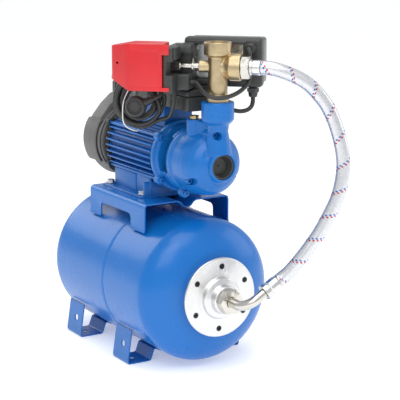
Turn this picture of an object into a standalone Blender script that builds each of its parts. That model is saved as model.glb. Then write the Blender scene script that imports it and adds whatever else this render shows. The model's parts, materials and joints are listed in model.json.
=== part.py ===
"""Centrifugal pump booster set: a close-coupled pump on a horizontal pressure tank.

Lengths in this file are millimetres and become metres in the helpers, through MM.
X runs along the tank and the pump shaft towards the suction port, Z is up, the floor is Z = 0.
"""
import math

import bmesh
import bpy
from mathutils import Matrix, Vector

MM = 0.001
GAP = 0.3                     # clearance between pieces that touch

# Placing of the layout origin (the tank flange's front face, on the tank's centre plane).
ORIGIN_X = 226.5
ORIGIN_Y = 9.5

# Tank
TANK_R = 135.0
TANK_AXIS_Z = 145.0
TANK_FRONT = -69.0            # where the front head begins
TANK_REAR = -400.0            # where the rear head begins
HEAD_DEPTH = 62.0
TANK_WALL = 1.2
NECK_R = 67.0
FLANGE_R = 74.0
FLANGE_T = 6.0
FLANGE_BOLT_R = 58.0
FOOT_XS = {"front_foot": -160.0, "rear_foot": -359.0}
FOOT_WIDTH = 60.0
STRIP_T = 2.5

# Saddle that carries the pump
SADDLE_X = (-339.0, -119.0)
SADDLE_HALF = 88.0
SADDLE_TOP = 301.7
SADDLE_T = 3.0
FOOT_BOLTS = [(-187.0, -57.0), (-187.0, 57.0), (-317.0, -57.0), (-317.0, 57.0)]

# Pump and motor, about the shaft
SHAFT_Z = 386.5
SHAFT_R = 10.0
SHAFT_END_R = 7.0
FRAME_X = (-318.0, -138.3)
FRAME_R = 57.0
BORE_R = 52.3
FIN_R = 68.0
FIN_PITCH = 11.2
FIN_T = 3.0
TIE_Y, TIE_Z = 53.0, 40.5
# (y, z) outline of the fan cover's hood, which rises behind the terminal box.
HOOD = [(-66, 36), (-62, 47), (-44, 69), (-20, 90), (20, 90), (44, 69), (62, 47), (66, 36)]
BODY_REAR = -86.0
BODY_R = 60.0
# Casing screws: angle and radius about the shaft, and where the head seats.
BODY_BOLTS = [(100.0, 57.0, -12.0), (210.0, 53.6, -38.0), (330.0, 53.6, -38.0)]
CHAMBER_R = 44.5
PORT_X = -11.0
PORT_R = 29.5
PORT_TOP = 116.3              # top of the discharge boss above the shaft
FILLER = (-58.0, -20.0)

# Fitting and its side ports, about the port axis
PORT_AXIS_Z = 564.0
PORT_ANGLE = 46.0

# Hose and cables
HOSE_R = 12.5
CABLE_R = 3.9
CORD_R = 3.75
COIL_CENTRE = (-152.0, 31.0, -70.6)
COIL_R = (27.0, 51.0)
COIL_HALF = 13.0
PLUG = (-151.0, 2.0, -76.0)
RELIEF_ANGLE = 24.0
LEVER_HINGE = (-40.0, 77.8, 0.0)
LEG_X = 85.0                  # the elbow's outer leg, and its rise above level
LEG_ANGLE = 31.0

# Routes, chosen by hand. The hose and the motor cable are in the layout frame, the others
# in the fitting's frame.
HOSE_ROUTE = [
    (43.0, 55.9, 564.0), (47.6, 60.7, 564.0), (55.0, 69.5, 563.0), (64.5, 84.0, 558.5),
    (77.5, 109.0, 547.0), (88.0, 128.0, 533.0), (97.0, 143.0, 515.0), (105.0, 154.5, 496.0),
    (112.0, 164.0, 472.0), (118.0, 171.0, 445.0), (122.5, 175.5, 419.0), (125.0, 177.0, 391.0),
    (126.0, 173.0, 362.0), (124.5, 165.5, 334.0), (121.0, 155.0, 310.0), (114.5, 135.5, 272.5),
    (104.5, 111.0, 235.0), (93.5, 89.5, 205.0), (86.5, 76.5, 191.8), (85.0, 71.0, 187.7),
    (85.0, 66.4, 184.9),
]
SWITCH_CABLE = [
    (50.0, 38.0, 29.5), (50.0, 31.0, 29.5), (50.8, 26.5, 26.0), (52.2, 24.4, 17.5),
    (53.6, 25.8, 8.0), (54.0, 27.2, -2.0), (54.0, 26.8, -13.0), (51.5, 22.0, -27.0), (45.0, 11.0, -38.0),
    (35.0, -3.0, -46.0), (22.0, -16.0, -51.0), (8.0, -24.5, -52.5), (-6.0, -26.5, -50.5),
    (-20.0, -19.5, -44.5), (-31.0, -8.5, -36.0), (-39.0, -1.8, -30.2), (-44.0, 0.0, -28.6),
    (-49.5, 0.0, -28.5),
]
MOTOR_CABLE = [
    (-16.6, 77.7, 503.4), (-16.6, 77.7, 496.5), (-16.2, 74.5, 487.5), (-17.5, 66.0, 481.0),
    (-22.0, 54.0, 479.0), (-28.0, 42.0, 481.5), (-33.5, 31.0, 486.5), (-38.0, 22.4, 491.4),
    (-42.0, 20.0, 493.0), (-49.0, 20.0, 493.0), (-57.0, 20.0, 493.0),
]
CORD_LEAD = [
    (-79.5, -5.0, -55.0), (-79.5, -5.0, -61.0), (-80.5, -3.0, -70.0), (-83.5, 3.0, -80.5),
    (-88.5, 12.0, -89.5), (-94.0, 21.0, -95.5), (-99.5, 28.5, -98.7), (-104.4, 31.0, -98.1),
    (-107.5, 31.0, -96.3),
]
CORD_TAIL = [
    (-119.4, 2.0, -61.9), (-114.0, 2.0, -59.5), (-107.0, 4.0, -55.5), (-102.0, 9.5, -48.5),
    (-101.5, 17.5, -40.5), (-104.5, 25.0, -34.0), (-109.0, 30.0, -30.5), (-113.1, 31.0, -31.7),
    (-115.7, 31.0, -34.3),
]


def material(name, colour, metallic=0.0, roughness=0.5):
    made = bpy.data.materials.new(name)
    made.use_nodes = True
    shader = made.node_tree.nodes["Principled BSDF"]
    shader.inputs["Base Color"].default_value = (*colour, 1.0)
    shader.inputs["Metallic"].default_value = metallic
    shader.inputs["Roughness"].default_value = roughness
    made.diffuse_color = (*colour, 1.0)
    return made


def axis_empty(name, location, angle=0.0, parent=None):
    empty = bpy.data.objects.new(name, None)
    PARTS.objects.link(empty)
    empty.location = Vector(location) * MM
    empty.rotation_euler.z = math.radians(angle)
    empty.parent = parent
    return empty


def add(name, mesh, mat, parent):
    """Put a mesh or curve in the scene as one named piece under a parent."""
    obj = bpy.data.objects.new(name, mesh)
    PARTS.objects.link(obj)
    obj.parent = parent
    if mat:
        mesh.materials.append(mat)
    return obj


def from_bmesh(name, bm, mat, parent, smooth=True):
    bmesh.ops.scale(bm, vec=(MM, MM, MM), verts=bm.verts)
    mesh = bpy.data.meshes.new(name)
    bm.to_mesh(mesh)
    bm.free()
    if smooth:
        mesh.shade_smooth()
        mesh.set_sharp_from_angle(angle=math.radians(35))
    return add(name, mesh, mat, parent)


def bevel(obj, width, segments=2):
    mod = obj.modifiers.new("Bevel", "BEVEL")
    mod.width = width * MM
    mod.segments = segments
    mod.limit_method = "ANGLE"
    mod.angle_limit = math.radians(40)
    return obj


def block(name, x, y, z, mat=None, parent=None, edge=0.0):
    """A box between the pairs x, y and z."""
    bm = bmesh.new()
    bmesh.ops.create_cube(bm, size=1.0)
    size = [b - a for a, b in (x, y, z)]
    centre = [(a + b) / 2 for a, b in (x, y, z)]
    bmesh.ops.scale(bm, vec=size, verts=bm.verts)
    bmesh.ops.translate(bm, vec=centre, verts=bm.verts)
    obj = from_bmesh(name, bm, mat, parent, smooth=False)
    return bevel(obj, edge) if edge else obj


TURN = {
    "X": Matrix.Rotation(math.radians(90), 4, "Y"),
    "Y": Matrix.Rotation(math.radians(-90), 4, "X"),
    "Z": Matrix.Identity(4),
}


def rod(name, radius, start, end, axis, centre, mat=None, parent=None, sides=16, twist=0.0):
    """A cylinder or prism from start to end along an axis, at centre across it."""
    bm = bmesh.new()
    bmesh.ops.create_cone(bm, cap_ends=True, segments=sides, radius1=radius, radius2=radius,
                          depth=end - start)
    bmesh.ops.rotate(bm, matrix=Matrix.Rotation(math.radians(twist), 3, "Z"), verts=bm.verts)
    bmesh.ops.transform(bm, matrix=TURN[axis], verts=bm.verts)
    spot = list(centre)
    spot.insert("XYZ".index(axis), (start + end) / 2)
    bmesh.ops.translate(bm, vec=spot, verts=bm.verts)
    return from_bmesh(name, bm, mat, parent)


def turned(name, profile, axis="X", centre=(0.0, 0.0), mat=None, parent=None, steps=32):
    """Turn (radius, height) points about an axis; they run down the outer side first."""
    order = {"X": lambda r, h: (h, r, 0), "Y": lambda r, h: (0, h, r), "Z": lambda r, h: (r, 0, h)}
    points = [Vector(order[axis](r, h)) * MM for r, h in profile]
    count = len(points)
    solid = profile[0][0] == 0 and profile[-1][0] == 0
    edges = [(i, i + 1) for i in range(count - 1)]
    if not solid:
        edges.append((count - 1, 0))
    mesh = bpy.data.meshes.new(name)
    mesh.from_pydata(points, edges, [])
    obj = add(name, mesh, mat, parent)
    spot = list(centre)
    spot.insert("XYZ".index(axis), 0.0)
    obj.location = Vector(spot) * MM
    mod = obj.modifiers.new("Screw", "SCREW")
    mod.axis = axis
    mod.steps = mod.render_steps = steps
    mod.use_merge_vertices = True
    mod.merge_threshold = 0.00001
    mod.use_smooth_shade = True
    return obj


def prism(name, outline, low, high, mat=None, parent=None, axis="Z"):
    """A flat outline raised from low to high along Z or X."""
    bm = bmesh.new()
    face = bm.faces.new([bm.verts.new((a, b, low)) for a, b in outline])
    raised = bmesh.ops.extrude_face_region(bm, geom=[face])["geom"]
    top = [v for v in raised if isinstance(v, bmesh.types.BMVert)]
    bmesh.ops.translate(bm, vec=(0, 0, high - low), verts=top)
    bmesh.ops.recalc_face_normals(bm, faces=bm.faces)
    if axis == "X":               # outline given as (y, z)
        turn = Matrix(((0, 0, 1, 0), (1, 0, 0, 0), (0, 1, 0, 0), (0, 0, 0, 1)))
        bmesh.ops.transform(bm, matrix=turn, verts=bm.verts)
    return from_bmesh(name, bm, mat, parent, smooth=False)


def strip(name, path, x, thickness, mat, parent):
    """A sheet bent along a (y, z) path, from x[0] to x[1]; thickness lies on its upper side."""
    bm = bmesh.new()
    rows = [[bm.verts.new((px, y, z)) for px in x] for y, z in path]
    for one, two in zip(rows, rows[1:]):
        bm.faces.new((one[0], one[1], two[1], two[0]))
    obj = from_bmesh(name, bm, mat, parent, smooth=False)
    mod = obj.modifiers.new("Solidify", "SOLIDIFY")
    mod.thickness = thickness * MM
    mod.offset = 1.0
    mod.use_even_offset = True
    return obj


def smooth_route(points, spacing):
    """Points about spacing apart on a Catmull-Rom curve through a route with straight ends."""
    knots = [Vector(p) for p in points]
    fine = []
    for a, b, c, d in zip(knots, knots[1:], knots[2:], knots[3:]):
        for i in range(20):
            t = i / 20
            fine.append(0.5 * (2 * b + (c - a) * t + (2 * a - 5 * b + 4 * c - d) * t * t
                               + (3 * b - a - 3 * c + d) * t ** 3))
    fine.append(knots[-2])
    lengths = [0.0]
    for one, two in zip(fine, fine[1:]):
        lengths.append(lengths[-1] + (two - one).length)
    count = max(2, round(lengths[-1] / spacing))
    picked, at = [], 0
    for i in range(count + 1):
        want = lengths[-1] * i / count
        while at < len(fine) - 2 and lengths[at + 1] < want:
            at += 1
        span = lengths[at + 1] - lengths[at]
        picked.append(fine[at].lerp(fine[at + 1], (want - lengths[at]) / span))
    return [knots[0]] + picked + [knots[-1]]


def tube(name, points, radius, mat, parent, resolution=2):
    """A round solid along points, as a poly spline with filled caps."""
    curve = bpy.data.curves.new(name, "CURVE")
    curve.dimensions = "3D"
    curve.bevel_depth = radius * MM
    curve.bevel_resolution = resolution
    curve.use_fill_caps = True
    spline = curve.splines.new("POLY")
    spline.points.add(len(points) - 1)
    for spot, point in zip(points, spline.points):
        point.co = (*(Vector(spot) * MM), 1.0)
    return add(name, curve, mat, parent)


def as_mesh(obj):
    """Turn a tube into a mesh with welded caps, so that it can be cut or joined."""
    bpy.context.view_layer.update()
    graph = bpy.context.evaluated_depsgraph_get()
    mesh = bpy.data.meshes.new_from_object(obj.evaluated_get(graph))
    bm = bmesh.new()
    bm.from_mesh(mesh)
    bmesh.ops.remove_doubles(bm, verts=bm.verts, dist=0.00001)
    bmesh.ops.recalc_face_normals(bm, faces=bm.faces)
    bm.to_mesh(mesh)
    bm.free()
    name, place = obj.name, obj.matrix_world.copy()
    bpy.data.objects.remove(obj)
    made = bpy.data.objects.new(name, mesh)
    PARTS.objects.link(made)
    made.matrix_world = place
    return made


def combine(obj, operation, tools):
    for tool in tools:
        mod = obj.modifiers.new(tool.name, "BOOLEAN")
        mod.operation = operation
        mod.object = tool
        mod.solver = "EXACT"
        PARTS.objects.unlink(tool)
        CUTTERS.objects.link(tool)
        tool.hide_render = True
        tool.display_type = "WIRE"
    return obj


def cut(obj, *tools):
    return combine(obj, "DIFFERENCE", tools)


def join(obj, *tools):
    return combine(obj, "UNION", tools)


def ring(radius, angle):
    """The (y, z) or (x, y) place at an angle on a circle."""
    return radius * math.cos(math.radians(angle)), radius * math.sin(math.radians(angle))


def head_points(radius, depth, start, rim, count, sign):
    """(radius, x) points of a domed head from its rim radius out to the shell."""
    first = math.asin(rim / radius)
    points = []
    for i in range(count + 1):
        a = first + (math.pi / 2 - first) * i / count
        points.append((radius * math.sin(a), start + sign * depth * math.cos(a)))
    return points


def cap_screw(name, radius, head, seat, end, centre, parent, mat):
    """A cap screw along X: its head in front of seat, its shank back to end."""
    size = radius * 1.65
    return turned(name, [(0, seat + head), (size, seat + head), (size, seat), (radius, seat),
                         (radius, end), (0, end)], "X", centre, mat, parent, 10)


def hex_bolt(name, radius, head, seat, end, centre, parent, mat):
    """A hex head bolt with a washer face, along Z, its head above seat."""
    shank = turned(name, [(0, seat + 1), (radius * 2.1, seat + 1), (radius * 2.1, seat),
                          (radius, seat), (radius, end), (0, end)], "Z", centre, mat, parent, 10)
    return join(shank, rod(name + "_head", radius * 1.9, seat + 0.5, seat + head, "Z", centre,
                           parent=parent, sides=6))


def build_tank(root):
    axis = axis_empty("tank_axis", (0, 0, TANK_AXIS_Z), parent=root)
    seat = -FLANGE_T - GAP
    front = head_points(TANK_R, HEAD_DEPTH, TANK_FRONT, NECK_R, 3, 1)
    rear = head_points(TANK_R, HEAD_DEPTH, TANK_REAR, 5.5, 4, -1)[::-1]
    inner_r = TANK_R - TANK_WALL
    depth = HEAD_DEPTH - TANK_WALL
    front_in = head_points(inner_r, depth, TANK_FRONT, 52.0, 2, 1)[::-1]
    rear_in = head_points(inner_r, depth, TANK_REAR, 5.5, 3, -1)
    profile = [(52, seat), (NECK_R, seat)] + front + rear + rear_in + front_in
    shell = turned("tank_shell", profile, "X", (0, 0), BLUE, axis, 24)
    holes = [rod(f"tank_shell_hole_{k}", 3.4, seat - 8, seat + 1, "X",
                 ring(FLANGE_BOLT_R, 87 - 60 * k), parent=axis, sides=8) for k in range(6)]
    cut(shell, *holes)

    skin, wall = TANK_R - 12.0, 2.5
    front = head_points(skin, HEAD_DEPTH - 12, TANK_FRONT, 46.0, 2, 1)
    rear = head_points(skin, HEAD_DEPTH - 12, TANK_REAR, 0.0, 3, -1)[::-1]
    front_in = head_points(skin - wall, HEAD_DEPTH - 12 - wall, TANK_FRONT, 43.0, 2, 1)[::-1]
    rear_in = head_points(skin - wall, HEAD_DEPTH - 12 - wall, TANK_REAR, 0.0, 3, -1)
    turned("tank_bladder", close_on_axis(front + rear, rear_in + front_in), "X", (0, 0),
           RUBBER, axis, 16)

    flange = turned("tank_flange", [(24, 24), (26, 22), (27, 10), (36, 9), (38, 7), (39, 0),
                                    (72.5, 0), (FLANGE_R, -1.5), (FLANGE_R, -FLANGE_T),
                                    (16.5, -FLANGE_T), (16.5, 24)],
                    "X", (0, 0), STEEL, axis, 20)
    for k in range(6):
        place = ring(FLANGE_BOLT_R, 87 - 60 * k)
        cut(flange, rod(f"tank_flange_sink_{k}", 5.4, -4, 1, "X", place, parent=axis, sides=10),
            rod(f"tank_flange_hole_{k}", 3.4, -8, -3, "X", place, parent=axis, sides=8))

    turned("air_valve", [(0, -489), (4, -489), (4, -474), (9, -473), (9, -463), (5.2, -462.6),
                         (5.2, -450), (0, -450)][::-1], "X", (0, 0), BRASS, axis, 12)
    for name, middle in FOOT_XS.items():
        build_foot(name, middle, root)
    build_saddle(root)
    return axis


def close_on_axis(outer, inner):
    """Join an outer and an inner run whose rear ends lie on the axis into one closed line."""
    return [(max(r, 0.4), h) for r, h in outer + inner]


def build_foot(name, middle, root):
    """One bent strip: leg, base, cradle under the tank, base, leg."""
    cradle_r = TANK_R + 1.0 + STRIP_T
    half = [(-111.5 - STRIP_T, 66.0), (-123.0, 6.0), (-121.0, 0.0), (-76.0, 0.0), (-72.0, 3.0)]
    for angle in (-118, -110, -102, -94):
        y, z = ring(cradle_r, angle)
        half.append((y, TANK_AXIS_Z + z))
    path = half + [(-y, z) for y, z in half[::-1]]
    x = (middle - FOOT_WIDTH / 2, middle + FOOT_WIDTH / 2)
    foot = strip(name, path, x, STRIP_T, BLUE, root)
    for side in (-1, 1):
        y = sorted((side * 128, side * 104))
        cut(foot, rod(f"{name}_leg_hole_{side}", 6.3, *y, "Y", (middle + 4, 35), parent=root),
            rod(f"{name}_base_hole_{side}", 5.0, -5, 8, "Z", (middle, side * 98), parent=root))


def build_saddle(root):
    """A folded plate with a stiffening trough; its sides end in lips that lie on the tank."""
    lip = [ring(TANK_R + GAP + SADDLE_T, a) for a in (125.5, 130.5)]
    half = [(lip[1][0], TANK_AXIS_Z + lip[1][1]), (-SADDLE_HALF, TANK_AXIS_Z + lip[0][1] - 1.5),
            (-SADDLE_HALF, SADDLE_TOP - 5), (-SADDLE_HALF + 1.7, SADDLE_TOP - 1.4),
            (-SADDLE_HALF + 6, SADDLE_TOP), (-17, SADDLE_TOP), (-7, SADDLE_TOP - 12)]
    path = half + [(-y, z) for y, z in half[::-1]]
    saddle = strip("pump_saddle", path[::-1], SADDLE_X, SADDLE_T, BLUE, root)
    cut(saddle, block("pump_saddle_window", (-294, -173), (-130, 130), (200, 278), parent=root))
    for k, (x, y) in enumerate(FOOT_BOLTS):
        cut(saddle, rod(f"pump_saddle_hole_{k}", 4.5, SADDLE_TOP - 8, SADDLE_TOP + 4, "Z",
                        (x, y), parent=root, sides=12))


def build_motor(axis):
    x0, x1 = FRAME_X
    foot_z = SADDLE_TOP - SHAFT_Z + GAP
    frame = rod("motor_frame", FRAME_R, x0, x1, "X", (0, 0), BLUE, axis, sides=28)
    fins = []
    for k in range(-3, 4):
        z = FIN_PITCH * k
        reach = math.sqrt(FIN_R ** 2 - z ** 2)
        fins.append(block(f"frame_fin_{k}", (x0 + 2, x1 - 2), (-reach, reach),
                          (z - FIN_T / 2, z + FIN_T / 2), parent=axis))
    join(frame, *fins)
    join(frame, block("frame_base", (-327, -170), (-70, 70), (foot_z, foot_z + 6.5), parent=axis),
         block("frame_wall", (-307, -222), (-53, 53), (foot_z + 3, -44), parent=axis),
         block("frame_rib", (-317.5, -176), (-40, 40), (foot_z + 3, -46), parent=axis),
         block("frame_end_rib", (-177, -171), (-62, 62), (foot_z + 3, -52), parent=axis),
         block("frame_pad", (-312, -150), (-30, 30), (48, 92.7), parent=axis))
    cut(frame, rod("frame_bore", BORE_R, x0 - 5, x1 + 5, "X", (0, 0), parent=axis, sides=28),
        block("frame_duct", (-260, -230), (-15, 15), (45, 100), parent=axis))
    for k, (x, y) in enumerate(((-300, -44), (-300, 3), (-245, -44), (-245, 3))):
        cut(frame, block(f"frame_relief_{k}", (x, x + 50), (y, y + 41), (foot_z - 5, -66),
                         parent=axis))
    cut(frame, block("frame_arch", (-298, -206), (-80, 80), (foot_z - 5, foot_z + 2.5),
                     parent=axis))
    for k, place in enumerate(FOOT_BOLTS):
        cut(frame, rod(f"frame_hole_{k}", 4.5, foot_z - 5, foot_z + 10, "Z", place, parent=axis,
                       sides=12))
        hex_bolt(f"foot_bolt_{k + 1}", 4.0, 6.0, foot_z + 6.5 + GAP, foot_z - 18, place, axis, ZINC)

    stator = turned("wound_stator", [(51.5, -165), (51.5, -295), (34, -295), (34, -165)], "X",
                    (0, 0), COPPER, axis, 16)
    for name, low, high in (("rear_winding", -313, -294), ("front_winding", -166, -147)):
        join(stator, turned(name, [(50, high), (50, low), (36, low), (36, high)], "X",
                           parent=axis, steps=16))

    shield = turned("rear_shield", [(61, -318.3), (61, -330), (50, -337), (22, -339), (15.3, -339),
                                    (15.3, -318.3)], "X", (0, 0), DARK, axis, 24)
    ties = [(y, z) for y in (-TIE_Y, TIE_Y) for z in (-TIE_Z, TIE_Z)]
    for k, place in enumerate(ties):
        join(shield, rod(f"rear_lug_{k}", 7, -329, -318.6, "X", place, parent=axis, sides=8))
    for k, place in enumerate(ties):
        cut(shield, rod(f"rear_lug_hole_{k}", 3.3, -335, -315, "X", place, parent=axis, sides=8))
    for name, low, high in (("rear_bearing", -338, -328), ("front_bearing", -137.5, -128)):
        turned(name, [(15, high), (15, low), (SHAFT_R + GAP, low), (SHAFT_R + GAP, high)], "X",
               (0, 0), BRIGHT, axis, 16)
    build_fan_cover(axis)
    return ties


def build_fan_cover(axis):
    cover = turned("fan_cover", [(0, -337), (68.5, -337), (70, -339), (74, -374), (73, -380),
                                 (66, -386), (0, -386)], "X", (0, 0), GREY, axis, 20)
    join(cover, band("fan_cover_band", 74.5, -402, -350, 42, axis, 4),
         prism("fan_cover_hood", HOOD, -385, -346.5, parent=axis, axis="X"))
    cut(cover, band("fan_cover_hollow", 72.0, -399.5, -336, 39.5, axis),
        turned("fan_cover_bore", [(0, -330), (67.8, -330), (67.8, -339), (71.5, -373),
                                  (64, -383.5), (0, -383.5)], "X", parent=axis, steps=20))
    for k in range(-2, 3):
        cut(cover, block(f"fan_slot_{k}", (-410, -395), (-50, 50), (12 * k - 3, 12 * k + 3),
                         parent=axis))


def band(name, radius, low, high, half, axis, edge=0.0):
    """The part of a disc within half of its level diameter."""
    outline = []
    top = math.degrees(math.asin(half / radius))
    for side in (0, 180):
        for i in range(6):
            outline.append(ring(radius, side - top + 2 * top * i / 5))
    obj = prism(name, outline, low, high, parent=axis, axis="X")
    return bevel(obj, edge) if edge else obj


def build_terminal_box(axis):
    box = block("terminal_box", (-345, -55), (-38, 38), (93, 120), BLACK, axis, 3)
    join(box, rod("terminal_gland", 9.5, -60, -46.5, "X", (20, 106.5), parent=axis, sides=10))
    cut(box, block("terminal_pocket", (-341, -59), (-34, 34), (96, 130), parent=axis),
        block("terminal_duct", (-260, -230), (-14, 14), (85, 105), parent=axis),
        rod("terminal_entry", 4.5, -70, -40, "X", (20, 106.5), parent=axis, sides=10))
    lid = block("terminal_box_lid", (-346, -54), (-39, 39), (120.3, 131.5), BLACK, axis, 3)
    cut(lid, block("lid_pocket", (-341, -59), (-34, 34), (110, 128), parent=axis))
    rod("run_capacitor", 14.5, -335, -265, "X", (-14, 111.5), PALE, axis, 24)
    terminals = block("terminal_block", (-215, -135), (-14, 14), (96.5, 110), PALE, axis)
    for k in range(4):
        cut(terminals, rod(f"terminal_screw_hole_{k}", 3.5, 104, 114, "Z", (-205 + 20 * k, 0),
                           parent=axis, sides=8))


def build_rotor(axis):
    """Everything that turns with the shaft."""
    turned("shaft", [(0, -34), (6, -34), (SHAFT_END_R, -36), (SHAFT_END_R, -96), (SHAFT_R, -98),
                     (SHAFT_R, -342), (7, -343), (7, -372), (0, -372)], "X", (0, 0), BRIGHT,
           axis, 16)
    turned("rotor_core", [(33, -160), (33, -300), (SHAFT_R + GAP, -300), (SHAFT_R + GAP, -160)],
           "X", (0, 0), IRON, axis, 20)
    impeller = turned("impeller", [(12, -38), (12, -54), (43, -56), (43, -59), (12, -60),
                                   (SHAFT_END_R + GAP, -60), (SHAFT_END_R + GAP, -38)], "X",
                      (0, 0), BRASS, axis, 16)
    join(impeller, turned("impeller_front", [(43, -43), (43, -46), (18, -40), (18, -33),
                                             (21, -33), (21, -37)], "X", parent=axis, steps=16))
    for k in range(6):
        vane = block(f"impeller_vane_{k}", (-56.5, -42.5), (14, 42.5), (-1.4, 1.4), parent=axis)
        vane.rotation_euler.x = math.radians(60 * k)
        vane.location = Vector((0, *ring(6, 60 * k + 90))) * MM
        join(impeller, vane)
    turned("seal_rotor", [(11, -62), (12.5, -64), (12.5, -78), (SHAFT_END_R + GAP, -78),
                          (SHAFT_END_R + GAP, -62)], "X", (0, 0), RUBBER, axis, 16)
    fan = turned("cooling_fan", [(14, -346), (14, -372), (7 + GAP, -372), (7 + GAP, -346)], "X",
                 (0, 0), PALE, axis, 20)
    join(fan, turned("fan_disc", [(58, -345.5), (58, -348.5), (13, -349), (13, -345.5)], "X",
                     parent=axis, steps=16))
    for k in range(7):
        blade = block(f"fan_blade_{k}", (-372, -347), (12, 57), (-1.2, 1.2), parent=axis)
        blade.rotation_euler.x = 2 * math.pi * k / 7
        join(fan, blade)


def build_pump(axis, ties):
    lantern = turned("lantern", [(68, -128), (68, -138), (18, -138), (18, -137.7), (15.3, -137.7),
                                 (15.3, -127), (26, -124), (42, -121), (50, -112), (50, -86.3),
                                 (63, -86.3), (63, -96), (60, -98), (60, -124), (63, -128)][::-1],
                     "X", (0, 0), BLUE, axis, 20)
    for k, place in enumerate(ties):
        join(lantern, rod(f"lantern_lug_{k}", 8, -138, -122, "X", place, parent=axis, sides=8))
    for k, place in enumerate(ties):
        cut(lantern, rod(f"lantern_hole_{k}", 3.3, -145, -110, "X", place, parent=axis, sides=8))
    cut(lantern, block("lantern_window", (-121, -88), (-80, 80), (-22, 44), parent=axis),
        block("lantern_top", (-121, -97.5), (-80, 80), (43, 80), parent=axis))

    body = turned("pump_body", [(0, 10), (26.3, 10), (27.5, 8.8), (27.5, 0), (31, -4), (41, -9),
                                (50, -16), (56, -26), (59, -38), (BODY_R, -52), (BODY_R, -75),
                                (63, -77), (63, BODY_REAR), (0, BODY_REAR)], "X", (0, 0),
                  BLUE, axis, 20)
    join(body, turned("discharge_boss", [(0, PORT_TOP), (28.5, PORT_TOP), (PORT_R, PORT_TOP - 1),
                                         (PORT_R, 83), (27, 80), (21, 77), (18, 62), (19, 20),
                                         (0, 20)], "Z", (PORT_X, 0), parent=axis, steps=16),
         rod("filler_boss", 14.5, 30, 80, "Z", FILLER, parent=axis, sides=16),
         rod("drain_boss", 8, -85.4, -70, "X", (-31.6, -57.5), parent=axis),
         rod("bolt_lug", 9.5, -76, -9, "X", ring(BODY_BOLTS[0][1], BODY_BOLTS[0][0]),
             parent=axis, sides=12))
    web = block("filler_web", (-24, 24), (-8, 8), (30, 78.5), parent=axis, edge=2)
    web.location = Vector(((FILLER[0] + PORT_X) / 2, FILLER[1] / 2, 0)) * MM
    web.rotation_euler.z = math.atan2(-FILLER[1], PORT_X - FILLER[0])
    join(body, web)
    cut(body, turned("body_chamber", [(0, 20), (23, 20), (23, 0), (17, -0.5), (17, -20),
                                      (42, -20), (CHAMBER_R, -25), (CHAMBER_R, -76), (49.0, -76),
                                      (49.0, -90), (0, -90)], "X", parent=axis, steps=20),
        turned("discharge_bore", [(0, 120), (21, 120), (21, 88), (13, 84), (13, 68), (0, 68)],
               "Z", (PORT_X, 0), parent=axis, steps=16),
        rod("volute_throat", 5.5, 33, 72, "Z", (PORT_X, 7), parent=axis, sides=10),
        rod("volute_link", 5.0, -40, -9, "X", (7, 37), parent=axis, sides=10),
        rod("filler_bore", 6.7, 58, 90, "Z", FILLER, parent=axis, sides=8),
        rod("drain_bore", 3.4, -90, -60, "X", (-31.6, -57.5), parent=axis, sides=8))
    for k, (angle, radius, seat) in enumerate(BODY_BOLTS):
        place = ring(radius, angle)
        cut(body, rod(f"body_sink_{k}", 7.2, seat, 30, "X", place, parent=axis, sides=8),
            rod(f"body_hole_{k}", 3.9, -90, seat + 1, "X", place, parent=axis, sides=8))
        cut(lantern, rod(f"lantern_thread_{k}", 3.9, -97, -80, "X", place, parent=axis, sides=8))
        cap_screw(f"body_bolt_{k + 1}", 3.5, 7.5, seat + GAP, -96, place, axis, BLACK_STEEL)
    cap_screw("drain_plug", 3.1, 3.5, -70 + GAP, -84, (-31.6, -57.5), axis, BLACK_STEEL)

    turned("casing_cover", [(20, -79), (47.5, -79), (48.1, -80), (48.1, -85.9), (8.2, -85.9),
                            (8.2, -78.4), (20, -78.4)], "X", (0, 0), IRON, axis, 20)
    turned("casing_seal", [(48.1, -76.3), (48.1, -78.7), (45, -78.7), (45, -76.3)], "X", (0, 0),
           RUBBER, axis, 16)
    turned("suction_plug", [(0, 3.5), (18, 3.5), (19.5, 7.5), (22.6, 7.5), (22.6, 0.3),
                            (16.5, 0), (16.5, -10), (0, -10)], "X", (0, 0), BLACK, axis, 24)
    plug = turned("filler_plug", [(0, 86.5), (7.6, 86.5), (8.4, 85.7), (8.4, 80.3), (6, 80.3),
                                  (6, 60), (0, 60)], "Z", FILLER, BRASS, axis, 20)
    cut(plug, block("filler_plug_slot", (FILLER[0] - 1, FILLER[0] + 1),
                    (FILLER[1] - 10, FILLER[1] + 10), (84.5, 90), parent=axis))


def build_fitting(port):
    """Five-way fitting; its own X is the side port, its own Y points to the rear switch."""
    fitting = turned("five_way_fitting", [(0, 44), (23.8, 44), (24.8, 43), (24.8, 22), (22, 19.5),
                                          (17.3, 18), (17.3, -52), (20.3, -54), (20.3, -75),
                                          (0, -75)], "Z", (0, 0), BRASS, port, 20)
    join(fitting, turned("side_boss", [(0, 43.5), (23.3, 43.5), (24.3, 42.5), (24.3, 22),
                                       (17, 17), (16, 2), (0, 2)], "X", parent=port, steps=16),
         rod("left_boss", 10.7, -33.3, -2, "X", (0, 0), parent=port, sides=12),
         rod("rear_boss", 10.7, 2, 30, "Y", (0, 0), parent=port, sides=12))
    cut(fitting, turned("fitting_bore", [(0, 50), (19.5, 50), (19.5, 24), (12.5, 22),
                                         (12.5, -80), (0, -80)], "Z", parent=port, steps=16),
        turned("side_bore", [(0, 50), (14, 50), (14, 1), (0, 1)], "X", parent=port, steps=12),
        rod("left_bore", 4.5, -40, -1, "X", (0, 0), parent=port, sides=8),
        rod("rear_bore", 4.5, 1, 40, "Y", (0, 0), parent=port, sides=8))


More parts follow.
